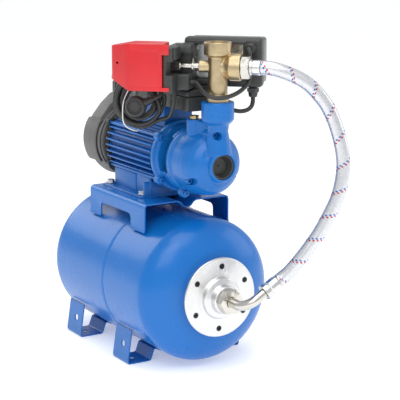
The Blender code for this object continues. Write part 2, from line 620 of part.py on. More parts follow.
def build_hose(root, port):
    """Braided hose from the side port to the tank flange, with its crimped ends and nuts."""
    turned("hose_ferrule_top", [(11, 77.4), (13.4, 76), (13.4, 64), (12.4, 63), (12.4, 61),
                                (14.2, 60), (14.2, 58.1), (9, 58.1), (9, 30), (6, 30),
                                (6, 76.9)], "X", (0, 0), NICKEL, port, 14)
    hex_nut("hose_nut_top", 22.3, 43.8, 57.8, port, 9.4)

    tank = axis_empty("flange_axis", (0, 0, TANK_AXIS_Z), parent=root)
    hex_nut("hose_nut_bottom", 24.0, 24.3, 41.0, tank, 9.4)
    leg = Vector((0, *ring(1, LEG_ANGLE)))
    corner = Vector((LEG_X, 0, 0))
    bend = 26.0
    route = [Vector((14, 0, 0)), Vector((36, 0, 0))]
    for i in range(7):
        a = math.pi / 2 * i / 6
        route.append(corner + Vector((-bend, 0, 0)) + Vector((bend * math.sin(a), 0, 0))
                     + leg * bend * (1 - math.cos(a)))
    route.append(corner + leg * 44.6)
    elbow = as_mesh(tube("hose_elbow", route, 9.0, NICKEL, None))
    elbow.parent = tank
    join(elbow, rod("elbow_collar", 13.5, 17, 23.9, "X", (0, 0), parent=tank, sides=16))
    ferrule = turned("hose_ferrule_bottom", [(11.5, 77), (13.4, 76), (13.4, 58), (12.2, 57),
                                             (12.2, 55), (14.5, 54), (14.5, 45.2), (5, 45.2),
                                             (5, 77)], "Z", (0, 0), NICKEL, tank, 14)
    ferrule.location = corner * MM
    ferrule.rotation_euler.x = -math.radians(90 - LEG_ANGLE)
    tube("braided_hose", smooth_route(HOSE_ROUTE, 2.4 * HOSE_R), HOSE_R, BRAID, root)


def hex_nut(name, radius, low, high, parent, bore):
    nut = rod(name, radius, low, high, "X", (0, 0), NICKEL, parent, 6, 0)
    return cut(nut, rod(name + "_bore", bore, low - 5, high + 5, "X", (0, 0), parent=parent,
                        sides=16))


def build_dry_run_switch(port):
    """Red-covered switch on the fitting's left boss."""
    nipple = turned("switch_nipple", [(0, -33.6), (5, -33.6), (5, -67), (8.6, -67.5),
                                      (8.6, -82.6), (0, -82.6)], "X", (0, 0), NICKEL, port, 12)
    join(nipple, rod("switch_nipple_ring", 8.2, -46, -43, "X", (0, 0), parent=port, sides=12))
    base = block("dry_run_base", (-88, -71), (-47, 44.5), (-45, 36), BLACK, port)
    join(base, block("dry_run_back", (-75, -50), (13, 44.5), (-45, 37), parent=port, edge=3),
         block("dry_run_foot", (-75, -50), (-11, 15), (-43, -14), parent=port, edge=2),
         rod("dry_run_knob", 8.5, -75, -48, "X", (2, 30), parent=port, sides=16))
    join(base, rod("mains_gland", 7.5, -58, -40, "Z", (-79.5, -5), parent=port, sides=12))
    cut(base, block("dry_run_slot", (-83, -60), (-60, 10), (-13, 11), parent=port),
        rod("mains_entry", 4.2, -70, -54, "Z", (-79.5, -5), parent=port, sides=10),
        rod("switch_entry", 4.2, -52.5, -48, "X", (0, -28.5), parent=port, sides=10))
    outline = [(-88.3, -50), (-151, -50), (-187, -30), (-187, -10), (-150, 6), (-88.3, 6)]
    cover = red_shell("dry_run_cover", outline, port)
    join(cover, block("cover_skirt_top", (-95, -76.5), (-50, -47.4), (23, 41.5), parent=port),
         block("cover_skirt_low", (-95, -76.5), (-50, -47.4), (-41, -34), parent=port))


def red_shell(name, outline, port):
    """A cover whose height tapers towards its far end, hollow from the base side."""
    cover = taper(prism(name, outline, -41, 41.5, RED, port))
    bevel(cover, 5, 2)
    inset = [(-80, -46.5), (-149, -46.5), (-182, -29), (-182, -11), (-148, 2.5), (-80, 2.5)]
    return cut(cover, taper(prism(name + "_hollow", inset, -37.5, 38, parent=port)))


def taper(obj):
    """Slope the far end, its lower corner more than its upper one."""
    shoulder, length = 151.0, 36.0
    for vertex in obj.data.vertices:
        far = (-vertex.co.x / MM - shoulder) / length
        if far > 0:
            vertex.co.z *= 1 - far * (0.14 if vertex.co.z > 0 else 0.45)
    return obj


def build_pressure_switch(port):
    """Pressure switch behind the fitting: frame, zinc plate, diaphragm, lever and cover."""
    frame = block("pressure_switch_frame", (-73, 70), (45, 72), (-42, 46.5), BLACK, port, 6)
    cut(frame, block("frame_recess", (-60, 36), (40, 60), (-29, 35), parent=port),
        rod("frame_socket", 15, 50, 80, "Y", (0, 0), parent=port),
        block("frame_wiring", (42, 62), (62, 80), (-24, 36), parent=port))
    plate = block("pressure_switch_plate", (-59.5, 35.5), (56.3, 59.7), (-28.5, 34.5), ZINC, port)
    for k, (x, z) in enumerate(((-52, -21), (-52, 27), (28, -21), (28, 27))):
        join(plate, rod(f"plate_screw_{k}", 4, 53.5, 57.5, "Y", (x, z), parent=port, sides=10))
    cut(plate, rod("plate_hole", 14.6, 50, 65, "Y", (0, 0), parent=port))
    diaphragm = turned("pressure_diaphragm", [(0, 74), (14.3, 74), (14.3, 55), (22, 55), (22, 50),
                                              (12, 49), (12, 30.3), (0, 30.3)], "Y", (0, 0), NICKEL,
                       port, 20)
    cut(diaphragm, rod("diaphragm_bore", 4, 25, 62, "Y", (0, 0), parent=port, sides=8))
    cover = block("pressure_switch_cover", (-70, 67), (72.3, 112), (-39, 44), BLACK, port, 4)
    cut(cover, block("cover_hollow", (-66.5, 63.5), (70, 108.5), (-35.5, 40.5), parent=port))
    lever = block("pressure_lever", (0, 72), (-1.3, 1.3), (-9, 9), ZINC, port)
    lever.location = Vector(LEVER_HINGE) * MM
    turns, per_turn = 5, 8
    coil = []
    for i in range(turns * per_turn + 1):
        a = 2 * math.pi * i / per_turn
        coil.append((7 * math.cos(a) + 2, 81.2 + 25 * i / (turns * per_turn), 7 * math.sin(a)))
    tube("pressure_spring", coil, 0.9, BRIGHT, port, 0)
    gland("switch_gland_front", port, "Y", (50, 29.5), 44.7, 34.0)
    gland("switch_gland_below", port, "Z", (52, 58), -42.3, -60.0)


def gland(name, parent, axis, centre, seat, end):
    """A cable gland standing on seat, with its open end at end (below seat)."""
    profile = [(7.5, seat), (11, seat), (11, seat - 8), (7.5, seat - 9), (7.5, end), (4.6, end),
               (4.6, seat)]
    return turned(name, profile, axis, centre, BLACK, parent, 10)


def build_cables(root, port):
    tube("switch_cable", smooth_route(SWITCH_CABLE, 9), CABLE_R, RUBBER, port)
    tube("motor_cable", smooth_route(MOTOR_CABLE, 9), CABLE_R, RUBBER, root)

    x, y, z = COIL_CENTRE
    inner, outer = COIL_R
    half = COIL_HALF
    edge = 5.0
    turned("mains_cord_coil", [(inner + edge, y + half), (outer - edge, y + half),
                               (outer, y + half - edge), (outer, y - half + edge),
                               (outer - edge, y - half), (inner + edge, y - half),
                               (inner, y - half + edge), (inner, y + half - edge)], "Y", (x, z),
           RUBBER, port, 24)
    tube("mains_cord_lead", smooth_route(CORD_LEAD, 8), CORD_R, RUBBER, port)
    tube("mains_cord_tail", smooth_route(CORD_TAIL, 8), CORD_R, RUBBER, port)
    px, py, pz = PLUG
    plug = turned("mains_plug", [(0, py + 10), (16, py + 10), (19, py + 7), (19.5, py - 7),
                                 (17, py - 10), (0, py - 10)], "Y", (px, pz), BLACK, port, 20)
    relief = rod("plug_relief", 6, 0, 34, "X", (0, 0), parent=port, sides=10)
    relief.location = Vector(PLUG) * MM
    relief.rotation_euler.y = -math.radians(RELIEF_ANGLE)
    join(plug, relief)
    for k in (-1, 1):
        join(plug, rod(f"plug_pin_{k}", 2.4, py + 9, py + 27, "Y", (px + 9.5 * k, pz),
                       parent=port, sides=8))


def main():
    root = axis_empty("pump_set", (ORIGIN_X, ORIGIN_Y, 0))
    build_tank(root)
    pump = axis_empty("shaft_axis", (0, 0, SHAFT_Z), parent=root)
    ties = build_motor(pump)
    build_terminal_box(pump)
    build_rotor(pump)
    build_pump(pump, ties)
    port = axis_empty("port_axis", (PORT_X, 0, PORT_AXIS_Z), PORT_ANGLE, root)
    build_fitting(port)
    build_hose(root, port)
    build_dry_run_switch(port)
    build_pressure_switch(port)
    build_cables(root, port)


for old in list(bpy.data.objects):
    bpy.data.objects.remove(old)
PARTS = bpy.data.collections.new("centrifugal_water_pump")
CUTTERS = bpy.data.collections.new("cutters")
bpy.context.scene.collection.children.link(PARTS)
bpy.context.scene.collection.children.link(CUTTERS)
BLUE = material("blue_paint", (0.03, 0.18, 0.55), 0.0, 0.35)
RED = material("red_plastic", (0.75, 0.02, 0.03), 0.0, 0.4)
BLACK = material("black_plastic", (0.045, 0.05, 0.045), 0.0, 0.55)
DARK = material("dark_casting", (0.05, 0.055, 0.05), 0.3, 0.6)
GREY = material("grey_plastic", (0.13, 0.13, 0.125), 0.0, 0.55)
PALE = material("pale_plastic", (0.6, 0.6, 0.57), 0.0, 0.5)
BRASS = material("brass", (0.62, 0.42, 0.16), 1.0, 0.3)
NICKEL = material("nickel", (0.62, 0.58, 0.5), 1.0, 0.22)
STEEL = material("polished_steel", (0.8, 0.8, 0.8), 1.0, 0.25)
ZINC = material("zinc_plate", (0.6, 0.62, 0.63), 1.0, 0.35)
BRIGHT = material("ground_steel", (0.7, 0.7, 0.7), 1.0, 0.2)
BLACK_STEEL = material("black_steel", (0.04, 0.04, 0.045), 0.8, 0.4)
IRON = material("laminated_iron", (0.25, 0.25, 0.26), 0.9, 0.5)
COPPER = material("copper_wire", (0.55, 0.22, 0.08), 0.9, 0.4)
RUBBER = material("rubber", (0.02, 0.02, 0.02), 0.0, 0.7)
BRAID = material("steel_braid", (0.6, 0.6, 0.62), 0.8, 0.4)
main()
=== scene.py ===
"""Looks of the pump set: fine visible surfaces, materials, cords, floor, lights and camera.

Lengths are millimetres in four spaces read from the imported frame. TANK lies on the tank's axis, at the
flange's front face. SHAFT and FLOOR are the same place at the shaft's height and on the floor. PORT is the
fitting's centre, with X along its side port and Y towards the pressure switch.
"""
import json
import math

import bmesh
import bpy
from mathutils import Matrix, Vector


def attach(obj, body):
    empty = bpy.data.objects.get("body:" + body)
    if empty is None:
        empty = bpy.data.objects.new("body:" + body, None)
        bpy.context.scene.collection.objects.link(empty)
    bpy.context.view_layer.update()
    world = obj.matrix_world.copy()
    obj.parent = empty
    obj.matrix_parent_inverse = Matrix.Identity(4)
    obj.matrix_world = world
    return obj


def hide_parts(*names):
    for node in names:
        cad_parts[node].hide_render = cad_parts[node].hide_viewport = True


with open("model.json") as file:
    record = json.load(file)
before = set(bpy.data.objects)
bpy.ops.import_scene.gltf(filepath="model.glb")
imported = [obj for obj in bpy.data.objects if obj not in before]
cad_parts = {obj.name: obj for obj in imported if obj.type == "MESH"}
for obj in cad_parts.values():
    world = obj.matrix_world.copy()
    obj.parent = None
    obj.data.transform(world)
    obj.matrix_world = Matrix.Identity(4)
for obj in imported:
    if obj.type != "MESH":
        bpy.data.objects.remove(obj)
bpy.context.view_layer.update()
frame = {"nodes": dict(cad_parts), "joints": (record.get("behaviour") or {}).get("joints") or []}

MM = 0.001
ROOT = "pump_set"
SCALE = Matrix.Scale(MM, 4)
JOINTS = {joint["name"]: joint for joint in frame["joints"]}


def joint_space(name):
    """Millimetres about a joint's place, X along the joint's level axis."""
    joint = JOINTS[name]
    turn = math.atan2(joint["axis"][1], joint["axis"][0])
    return Matrix.Translation(joint["pos_m"]) @ Matrix.Rotation(turn, 4, "Z") @ SCALE


TANK = joint_space("bottom_nut_swivel")
PORT = joint_space("top_nut_swivel")
HOME = Vector(JOINTS["bottom_nut_swivel"]["pos_m"])
SHAFT = Matrix.Translation((HOME.x, HOME.y, JOINTS["shaft_spin"]["pos_m"][2])) @ SCALE
FLOOR = Matrix.Translation((HOME.x, HOME.y, 0.0)) @ SCALE


# ---- shapes ---------------------------------------------------------------------------------

def on_circle(radius, angle):
    return radius * math.cos(math.radians(angle)), radius * math.sin(math.radians(angle))


def soften(points, radius, closed=False, count=4):
    """Round the corners of a line of 2-D points."""
    made = []
    total = len(points)
    for i, here in enumerate(points):
        if not closed and i in (0, total - 1):
            made.append(tuple(here))
            continue
        corner = Vector(here)
        back = Vector(points[i - 1]) - corner
        ahead = Vector(points[(i + 1) % total]) - corner
        if min(back.length, ahead.length) < 1e-6 or back.angle(ahead) > math.radians(160):
            made.append(tuple(here))
            continue
        reach = min(radius, back.length * 0.45, ahead.length * 0.45)
        one = corner + back.normalized() * reach
        two = corner + ahead.normalized() * reach
        for k in range(count + 1):
            t = k / count
            made.append(tuple(one * (1 - t) ** 2 + corner * 2 * t * (1 - t) + two * t * t))
    return made


def as_object(bm, space):
    """A mesh object in the row frame from shapes given in a space's millimetres."""
    bmesh.ops.transform(bm, matrix=space, verts=bm.verts)
    bmesh.ops.recalc_face_normals(bm, faces=bm.faces)
    mesh = bpy.data.meshes.new("piece")
    bm.to_mesh(mesh)
    bm.free()
    obj = bpy.data.objects.new("piece", mesh)
    bpy.context.scene.collection.objects.link(obj)
    return obj


def lathe(space, profile, axis="X", centre=(0.0, 0.0), steps=96, soft=0.0):
    """Turn (radius, height) points about an axis; both ends on the axis, or a closed section."""
    solid = profile[0][0] == 0 and profile[-1][0] == 0
    points = soften(profile, soft, not solid) if soft else list(profile)
    bm = bmesh.new()
    across = [i for i in range(3) if i != "XYZ".index(axis)]

    def spot(radius, height, turn):
        place = [0.0, 0.0, 0.0]
        place["XYZ".index(axis)] = height
        place[across[0]] = centre[0] + radius * math.cos(turn)
        place[across[1]] = centre[1] + radius * math.sin(turn)
        return bm.verts.new(place)

    rings = []
    for radius, height in points:
        many = 1 if radius < 1e-6 else steps
        rings.append([spot(radius, height, 2 * math.pi * i / steps) for i in range(many)])
    pairs = list(zip(rings, rings[1:]))
    if not solid:
        pairs.append((rings[-1], rings[0]))
    for one, two in pairs:
        for i in range(steps):
            j = (i + 1) % steps
            corners = [one[i % len(one)], one[j % len(one)], two[j % len(two)], two[i % len(two)]]
            face = list(dict.fromkeys(corners))
            if len(face) > 2:
                bm.faces.new(face)
    return as_object(bm, space)


def block(space, x, y, z, edge=0.0, segments=3):
    """A box between the pairs x, y and z, with rounded edges."""
    bm = bmesh.new()
    bmesh.ops.create_cube(bm, size=1.0)
    bmesh.ops.scale(bm, vec=[b - a for a, b in (x, y, z)], verts=bm.verts)
    bmesh.ops.translate(bm, vec=[(a + b) / 2 for a, b in (x, y, z)], verts=bm.verts)
    if edge:
        bmesh.ops.bevel(bm, geom=bm.edges[:], offset=edge, segments=segments, profile=0.5,
                        affect="EDGES", clamp_overlap=True)
    return as_object(bm, space)


def rod(space, radius, start, end, axis="X", centre=(0.0, 0.0), steps=48, edge=0.0):
    """A cylinder, or a prism with few steps, with rounded rims."""
    profile = [(0, start), (radius, start), (radius, end), (0, end)]
    return lathe(space, profile, axis, centre, steps, edge)


def rods(space, radius, start, end, axis, spots, steps, edge=0.0):
    """Equal rods, one at each spot."""
    return [rod(space, radius, start, end, axis, spot, steps, edge) for spot in spots]


def prism(space, outline, low, high, axis="Z", edge=0.0, segments=4):
    """A flat outline raised along Z, or along X from (y, z) points."""
    bm = bmesh.new()
    face = bm.faces.new([bm.verts.new((a, b, low)) for a, b in outline])
    raised = bmesh.ops.extrude_face_region(bm, geom=[face])["geom"]
    top = [v for v in raised if isinstance(v, bmesh.types.BMVert)]
    bmesh.ops.translate(bm, vec=(0, 0, high - low), verts=top)
    if edge:
        bmesh.ops.bevel(bm, geom=bm.edges[:], offset=edge, segments=segments, profile=0.5,
                        affect="EDGES", clamp_overlap=True)
    if axis == "X":
        turn = Matrix(((0, 0, 1, 0), (1, 0, 0, 0), (0, 1, 0, 0), (0, 0, 0, 1)))
        bmesh.ops.transform(bm, matrix=turn, verts=bm.verts)
    return as_object(bm, space)


def sheet_metal(space, path, x, thickness, fold):
    """A strip folded along a (y, z) path, from x[0] to x[1], its thickness to the path's left."""
    line = [Vector(p) for p in soften(path, fold, count=6)]
    outer = []
    for i, here in enumerate(line):
        before = (here - line[max(i - 1, 0)]) if i else (line[1] - here)
        after = (line[min(i + 1, len(line) - 1)] - here) if i < len(line) - 1 else before
        way = (before.normalized() + after.normalized()).normalized()
        normal = Vector((-way.y, way.x))
        square = max(0.5, normal.dot(Vector((-before.y, before.x)).normalized()))
        outer.append(here + normal * thickness / square)
    outline = [tuple(p) for p in line] + [tuple(p) for p in outer[::-1]]
    return prism(space, outline, x[0], x[1], "X")


def catmull(points, spacing):
    """Evenly spaced points on a smooth curve through a route; its two end spans stay straight."""
    knots = [Vector(p) for p in points]
    fine = []
    for a, b, c, d in zip(knots, knots[1:], knots[2:], knots[3:]):
        for i in range(24):
            t = i / 24
            fine.append(0.5 * (2 * b + (c - a) * t + (2 * a - 5 * b + 4 * c - d) * t * t
                               + (3 * b - a - 3 * c + d) * t ** 3))
    fine = [knots[0]] + fine + [knots[-2], knots[-1]]
    picked, left = [fine[0]], spacing
    for one, two in zip(fine, fine[1:]):
        span = (two - one).length
        done = 0.0
        while span - done > left:
            done += left
            picked.append(one.lerp(two, done / span))
            left = spacing
        left -= span - done
    if (picked[-1] - fine[-1]).length < spacing * 0.4:
        picked.pop()
    return picked + [fine[-1]]


def swept(space, points, radius, sides=24, bulge=None):
    """A tube along points. bulge(along, turn) adds to its radius; UVs hold turn and length."""
    line = [Vector(p) for p in points]
    bm = bmesh.new()
    layer = bm.loops.layers.uv.new("UVMap")
    side = (line[1] - line[0]).orthogonal().normalized()
    rows, along = [], 0.0
    for i, here in enumerate(line):
        way = (line[min(i + 1, len(line) - 1)] - line[max(i - 1, 0)]).normalized()
        side = (side - way * side.dot(way)).normalized()
        up = way.cross(side)
        along += (here - line[i - 1]).length if i else 0.0
        row = []
        for k in range(sides):
            turn = 2 * math.pi * k / sides
            out = radius + (bulge(along, turn) if bulge else 0.0)
            row.append(bm.verts.new(here + (side * math.cos(turn) + up * math.sin(turn)) * out))
        rows.append((row, along))
    for (one, low), (two, high) in zip(rows, rows[1:]):
        for k in range(sides):
            j = (k + 1) % sides
            face = bm.faces.new((one[k], one[j], two[j], two[k]))
            for loop, turn, length in zip(face.loops, (k, k + 1, k + 1, k), (low, low, high, high)):
                loop[layer].uv = (turn / sides, length)
    bm.faces.new(rows[0][0])
    bm.faces.new(rows[-1][0])
    return as_object(bm, space)


# ---- joining and finishing ------------------------------------------------------------------

def evaluated(obj):
    """Apply an object's modifiers."""
    bpy.context.view_layer.update()
    graph = bpy.context.evaluated_depsgraph_get()
    mesh = bpy.data.meshes.new_from_object(obj.evaluated_get(graph))
    obj.modifiers.clear()
    obj.data = mesh
    return obj


def merged(obj, operation, tools):
    for tool in tools:
        mod = obj.modifiers.new("merge", "BOOLEAN")
        mod.operation = operation
        mod.object = tool
        mod.solver = "EXACT"
    evaluated(obj)
    for tool in tools:
        bpy.data.objects.remove(tool)
    return obj


def carve(obj, *tools):
    return merged(obj, "DIFFERENCE", tools)


def fuse(obj, *tools):
    return merged(obj, "UNION", tools)


def common(obj, *tools):
    return merged(obj, "INTERSECT", tools)


def gathered(obj, *others):
    """Put several closed shapes in one mesh."""
    bm = bmesh.new()
    for each in (obj, *others):
        bm.from_mesh(each.data)
    bm.to_mesh(obj.data)
    bm.free()
    for each in others:
        bpy.data.objects.remove(each)
    return obj


def casting(voxel, passes, *shapes):
    """Melt overlapping shapes into one casting with soft inner corners."""
    obj = gathered(*shapes)
    mod = obj.modifiers.new("melt", "REMESH")
    mod.mode = "VOXEL"
    mod.voxel_size = voxel * MM
    mod = obj.modifiers.new("ease", "SMOOTH")
    mod.factor = 0.5
    mod.iterations = passes
    return evaluated(obj)


def finish(obj, name, mat, *nodes, body=ROOT, edge=0.0, angle=32.0):
    """Name a piece, give it its finish and shading, and let it ride on its body."""
    obj.name = name
    obj.data.name = name
    obj.data.materials.clear()
    obj.data.materials.append(mat)
    obj.data.shade_smooth()
    obj.data.set_sharp_from_angle(angle=math.radians(angle))
    if edge:
        mod = obj.modifiers.new("edges", "BEVEL")
        mod.width = edge * MM
        mod.segments = 2
        mod.limit_method = "ANGLE"
        mod.angle_limit = math.radians(40)
        mod.harden_normals = True
    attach(obj, body)
    if nodes:
        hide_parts(*nodes)
    return obj


def hexagon(space, across, low, high, bore=0.0, centre=(0.0, 0.0), axis="X"):
    """A hexagonal head or nut with chamfered corners, across its corners' circle."""
    nut = rod(space, across, low, high, axis, centre, 6)
    cut = across * 0.12
    cone = lathe(space, [(0, low), (across - cut, low), (across + 0.1, low + cut * 0.6),
                         (across + 0.1, high - cut * 0.6), (across - cut, high), (0, high)],
                 axis, centre, 48)
    common(nut, cone)
    if bore:
        carve(nut, rod(space, bore, low - 5, high + 5, axis, centre, 48))
    return nut


def socket_screw(space, radius, seat, head, centre, socket):
    """A cap screw's head along X with a hexagonal socket."""
    screw = rod(space, radius, seat, seat + head, "X", centre, 40, 0.7)
    return carve(screw, rod(space, socket, seat + head * 0.4, seat + head + 3, "X", centre, 6))


# ---- materials ------------------------------------------------------------------------------


def wire(tree, source, target):
    tree.links.new(source, target)


def noise(tree, place, scale, detail=3.0, stretch=(1.0, 1.0, 1.0)):
    if stretch != (1.0, 1.0, 1.0):
        mapping = tree.nodes.new("ShaderNodeMapping")
        mapping.inputs["Scale"].default_value = stretch
        wire(tree, place, mapping.inputs["Vector"])
        place = mapping.outputs["Vector"]
    made = tree.nodes.new("ShaderNodeTexNoise")
    made.inputs["Scale"].default_value = scale
    made.inputs["Detail"].default_value = detail
    wire(tree, place, made.inputs["Vector"])
    return made.outputs["Fac"]


def tinted(tree, factor, one, two):
    """A colour between two, by a factor; either may be a socket."""
    mix = tree.nodes.new("ShaderNodeMix")
    mix.data_type = "RGBA"
    wire(tree, factor, mix.inputs["Factor"])
    for name, colour in (("A", one), ("B", two)):
        socket = next(s for s in mix.inputs if s.name == name and s.type == "RGBA")
        if isinstance(colour, tuple):
            socket.default_value = (*colour, 1.0)
        else:
            wire(tree, colour, socket)
    return next(s for s in mix.outputs if s.type == "RGBA")


def ranged(tree, value, low, high, start=0.3, end=0.7):
    made = tree.nodes.new("ShaderNodeMapRange")
    made.inputs["From Min"].default_value = start
    made.inputs["From Max"].default_value = end
    made.inputs["To Min"].default_value = low
    made.inputs["To Max"].default_value = high
    wire(tree, value, made.inputs["Value"])
    return made.outputs["Result"]


def sums(tree, operation, one, two):
    made = tree.nodes.new("ShaderNodeMath")
    made.operation = operation
    for socket, value in zip(made.inputs, (one, two)):
        if isinstance(value, (int, float)):
            socket.default_value = value
        else:
            wire(tree, value, socket)
    return made.outputs["Value"]


def surface(name, colour, rough, metallic=0.0, shade=0.12, patch=14.0, smear=0.06,
            grain=(450.0, 0.00003), coat=0.0, stretch=(1.0, 1.0, 1.0)):
    """A finish with patchy colour, uneven gloss and a fine grain of (scale, height)."""
    mat = bpy.data.materials.new(name)
    mat.use_nodes = True
    tree = mat.node_tree
    shader = tree.nodes["Principled BSDF"]
    shader.inputs["Metallic"].default_value = metallic
    shader.inputs["Coat Weight"].default_value = coat
    shader.inputs["Coat Roughness"].default_value = 0.05
    place = tree.nodes.new("ShaderNodeTexCoord").outputs["Object"]
    cloudy = noise(tree, place, patch, 4.0)
    deep = tuple(c * (1 - shade) for c in colour)
    pale = tuple(min(1.0, c * (1 + shade * 0.6)) for c in colour)
    paint = tinted(tree, ranged(tree, cloudy, 0.0, 1.0), deep, pale)
    wire(tree, paint, shader.inputs["Base Color"])
    fine = noise(tree, place, grain[0], 3.0, stretch)
    smudges = noise(tree, place, patch * 4, 5.0, stretch)
    wire(tree, ranged(tree, smudges, max(0.02, rough - smear), rough + smear),
         shader.inputs["Roughness"])
    bump = tree.nodes.new("ShaderNodeBump")
    bump.inputs["Strength"].default_value = 0.6
    bump.inputs["Distance"].default_value = grain[1]
    wire(tree, fine, bump.inputs["Height"])
    wire(tree, bump.outputs["Normal"], shader.inputs["Normal"])
    return mat


def turned_metal(name, colour, rough, centre, pitch, depth):
    """Bright metal with the fine rings that a lathe leaves about an X axis through centre."""
    mat = surface(name, colour, rough, 1.0, 0.05, 20.0, 0.05)
    tree = mat.node_tree
    mapping = tree.nodes.new("ShaderNodeMapping")
    mapping.inputs["Location"].default_value = -Vector(centre)
    wire(tree, tree.nodes["Texture Coordinate"].outputs["Object"], mapping.inputs["Vector"])
    rings = tree.nodes.new("ShaderNodeTexWave")
    rings.wave_type = "RINGS"
    rings.rings_direction = "X"
    rings.inputs["Scale"].default_value = 1 / (pitch * MM) / 20
    rings.inputs["Distortion"].default_value = 0.4
    wire(tree, mapping.outputs["Vector"], rings.inputs["Vector"])
    bump = tree.nodes["Bump"]
    bump.inputs["Distance"].default_value = depth
    wire(tree, rings.outputs["Fac"], bump.inputs["Height"])
    return mat


def braid_finish():
    """Woven steel wire with a blue and a red tracer that pass over and under on a helix."""
    mat = surface("braid_wire", (0.74, 0.75, 0.78), 0.3, 0.75, 0.25, 700.0, 0.08,
                  (2600.0, 0.00008))
    tree = mat.node_tree
    shader = tree.nodes["Principled BSDF"]
    split = tree.nodes.new("ShaderNodeSeparateXYZ")
    wire(tree, tree.nodes["Texture Coordinate"].outputs["UV"], split.inputs["Vector"])
    turn, along = split.outputs["X"], sums(tree, "DIVIDE", split.outputs["Y"], BRAID_PITCH)
    strand = sums(tree, "FRACT", sums(tree, "SUBTRACT", along, turn), 0)
    other = sums(tree, "MULTIPLY", sums(tree, "ADD", along, turn), BRAID_ENDS)
    over = sums(tree, "LESS_THAN", sums(tree, "FRACT", sums(tree, "MULTIPLY", other, 0.5), 0), 0.5)
    wires = sums(tree, "FRACT", sums(tree, "MULTIPLY", strand, BRAID_ENDS * 4), 0)
    gap = sums(tree, "LESS_THAN", wires, 0.2)
    old = shader.inputs["Base Color"].links[0].from_socket
    paint = tinted(tree, sums(tree, "MULTIPLY", gap, 0.45), old, (0.16, 0.16, 0.18))
    half = 0.5 / BRAID_ENDS
    for start, colour in ((half, (0.03, 0.13, 0.5)), (half * 3, (0.5, 0.03, 0.04))):
        near = sums(tree, "ABSOLUTE", sums(tree, "SUBTRACT", strand, start), 0)
        inside = sums(tree, "MULTIPLY", sums(tree, "LESS_THAN", near, half * 0.8), over)
        paint = tinted(tree, inside, paint, colour)
    wire(tree, paint, shader.inputs["Base Color"])
    return mat


BRAID_PITCH = 48.0
BRAID_ENDS = 12
BRAID_HEIGHT, BRAID_SINK = 0.55, 0.3
ENAMEL_SPECULAR = 0.36
BLUE = surface("blue_gloss", (0.004, 0.145, 0.5), 0.26, 0.0, 0.05, 6.0, 0.03,
               (260.0, 0.00002), 0.08)
BLUE_CAST = surface("blue_cast", (0.004, 0.138, 0.47), 0.32, 0.0, 0.1, 30.0, 0.05,
                    (520.0, 0.00012), 0.1)
BLUE_MOTOR = surface("blue_motor", (0.004, 0.125, 0.44), 0.34, 0.0, 0.1, 30.0,
                     0.05, (600.0, 0.0001), 0.1)
RED = surface("red_moulded", (0.62, 0.012, 0.018), 0.36, 0.0, 0.08, 20.0, 0.05,
              (900.0, 0.00004), 0.1)
BLACK = surface("black_moulded", (0.035, 0.037, 0.036), 0.42, 0.0, 0.2, 40.0, 0.07,
                (1300.0, 0.00008))
LID = surface("black_gloss", (0.03, 0.032, 0.034), 0.22, 0.0, 0.2, 30.0, 0.05,
              (1000.0, 0.00003))
DARK = surface("dark_casting_finish", (0.028, 0.03, 0.028), 0.45, 0.0, 0.25, 60.0,
               0.1, (700.0, 0.0002))
GREY = surface("fan_cover_grain", (0.115, 0.115, 0.11), 0.5, 0.0, 0.12, 30.0, 0.08,
               (1100.0, 0.00012))
PALE = surface("pale_moulded", (0.6, 0.6, 0.56), 0.4, 0.0, 0.1, 40.0)
TIE = surface("white_tie", (0.82, 0.82, 0.8), 0.35, 0.0, 0.05, 60.0)
BRASS = surface("machined_brass", (0.52, 0.38, 0.19), 0.26, 1.0, 0.12, 60.0, 0.08,
                (900.0, 0.00004))
CAST_BRASS = surface("cast_brass", (0.54, 0.43, 0.26), 0.36, 1.0, 0.15, 70.0, 0.1,
                     (800.0, 0.00015))
NICKEL = surface("nickel_plate", (0.63, 0.61, 0.56), 0.2, 1.0, 0.08, 50.0, 0.05,
                 (1200.0, 0.00002))
FERRULE = surface("stainless_ferrule", (0.72, 0.72, 0.71), 0.25, 1.0, 0.08, 50.0, 0.07,
                  (500.0, 0.00005), 0.0, (1.0, 1.0, 0.2))
ZINC = surface("zinc_finish", (0.62, 0.63, 0.64), 0.33, 1.0, 0.15, 90.0, 0.1,
               (700.0, 0.00005))
GROUND = surface("ground_finish", (0.7, 0.7, 0.7), 0.22, 1.0, 0.06, 90.0, 0.06,
                 (2500.0, 0.00002), 0.0, (0.1, 1.0, 1.0))
SCREW = surface("black_oxide", (0.035, 0.037, 0.042), 0.3, 0.8, 0.2, 200.0, 0.1,
                (900.0, 0.00004))
IRON = surface("laminations", (0.24, 0.24, 0.25), 0.45, 0.9, 0.2, 120.0, 0.1,
               (2600.0, 0.00015), 0.0, (1.0, 0.05, 0.05))
COPPER = surface("enamelled_wire", (0.5, 0.17, 0.05), 0.35, 0.8, 0.3, 400.0, 0.1,
                 (1800.0, 0.0003), 0.0, (1.0, 0.2, 1.0))
RUBBER = surface("cable_rubber", (0.03, 0.031, 0.03), 0.48, 0.0, 0.2, 80.0, 0.08,
                 (1500.0, 0.00008))
FLANGE = turned_metal("turned_flange", (0.72, 0.72, 0.72), 0.3,
                      HOME, 0.8, 0.000012)
BRAID = braid_finish()
for enamel in (BLUE, BLUE_CAST, BLUE_MOTOR):
    enamel.node_tree.nodes["Principled BSDF"].inputs["Specular IOR Level"].default_value = ENAMEL_SPECULAR

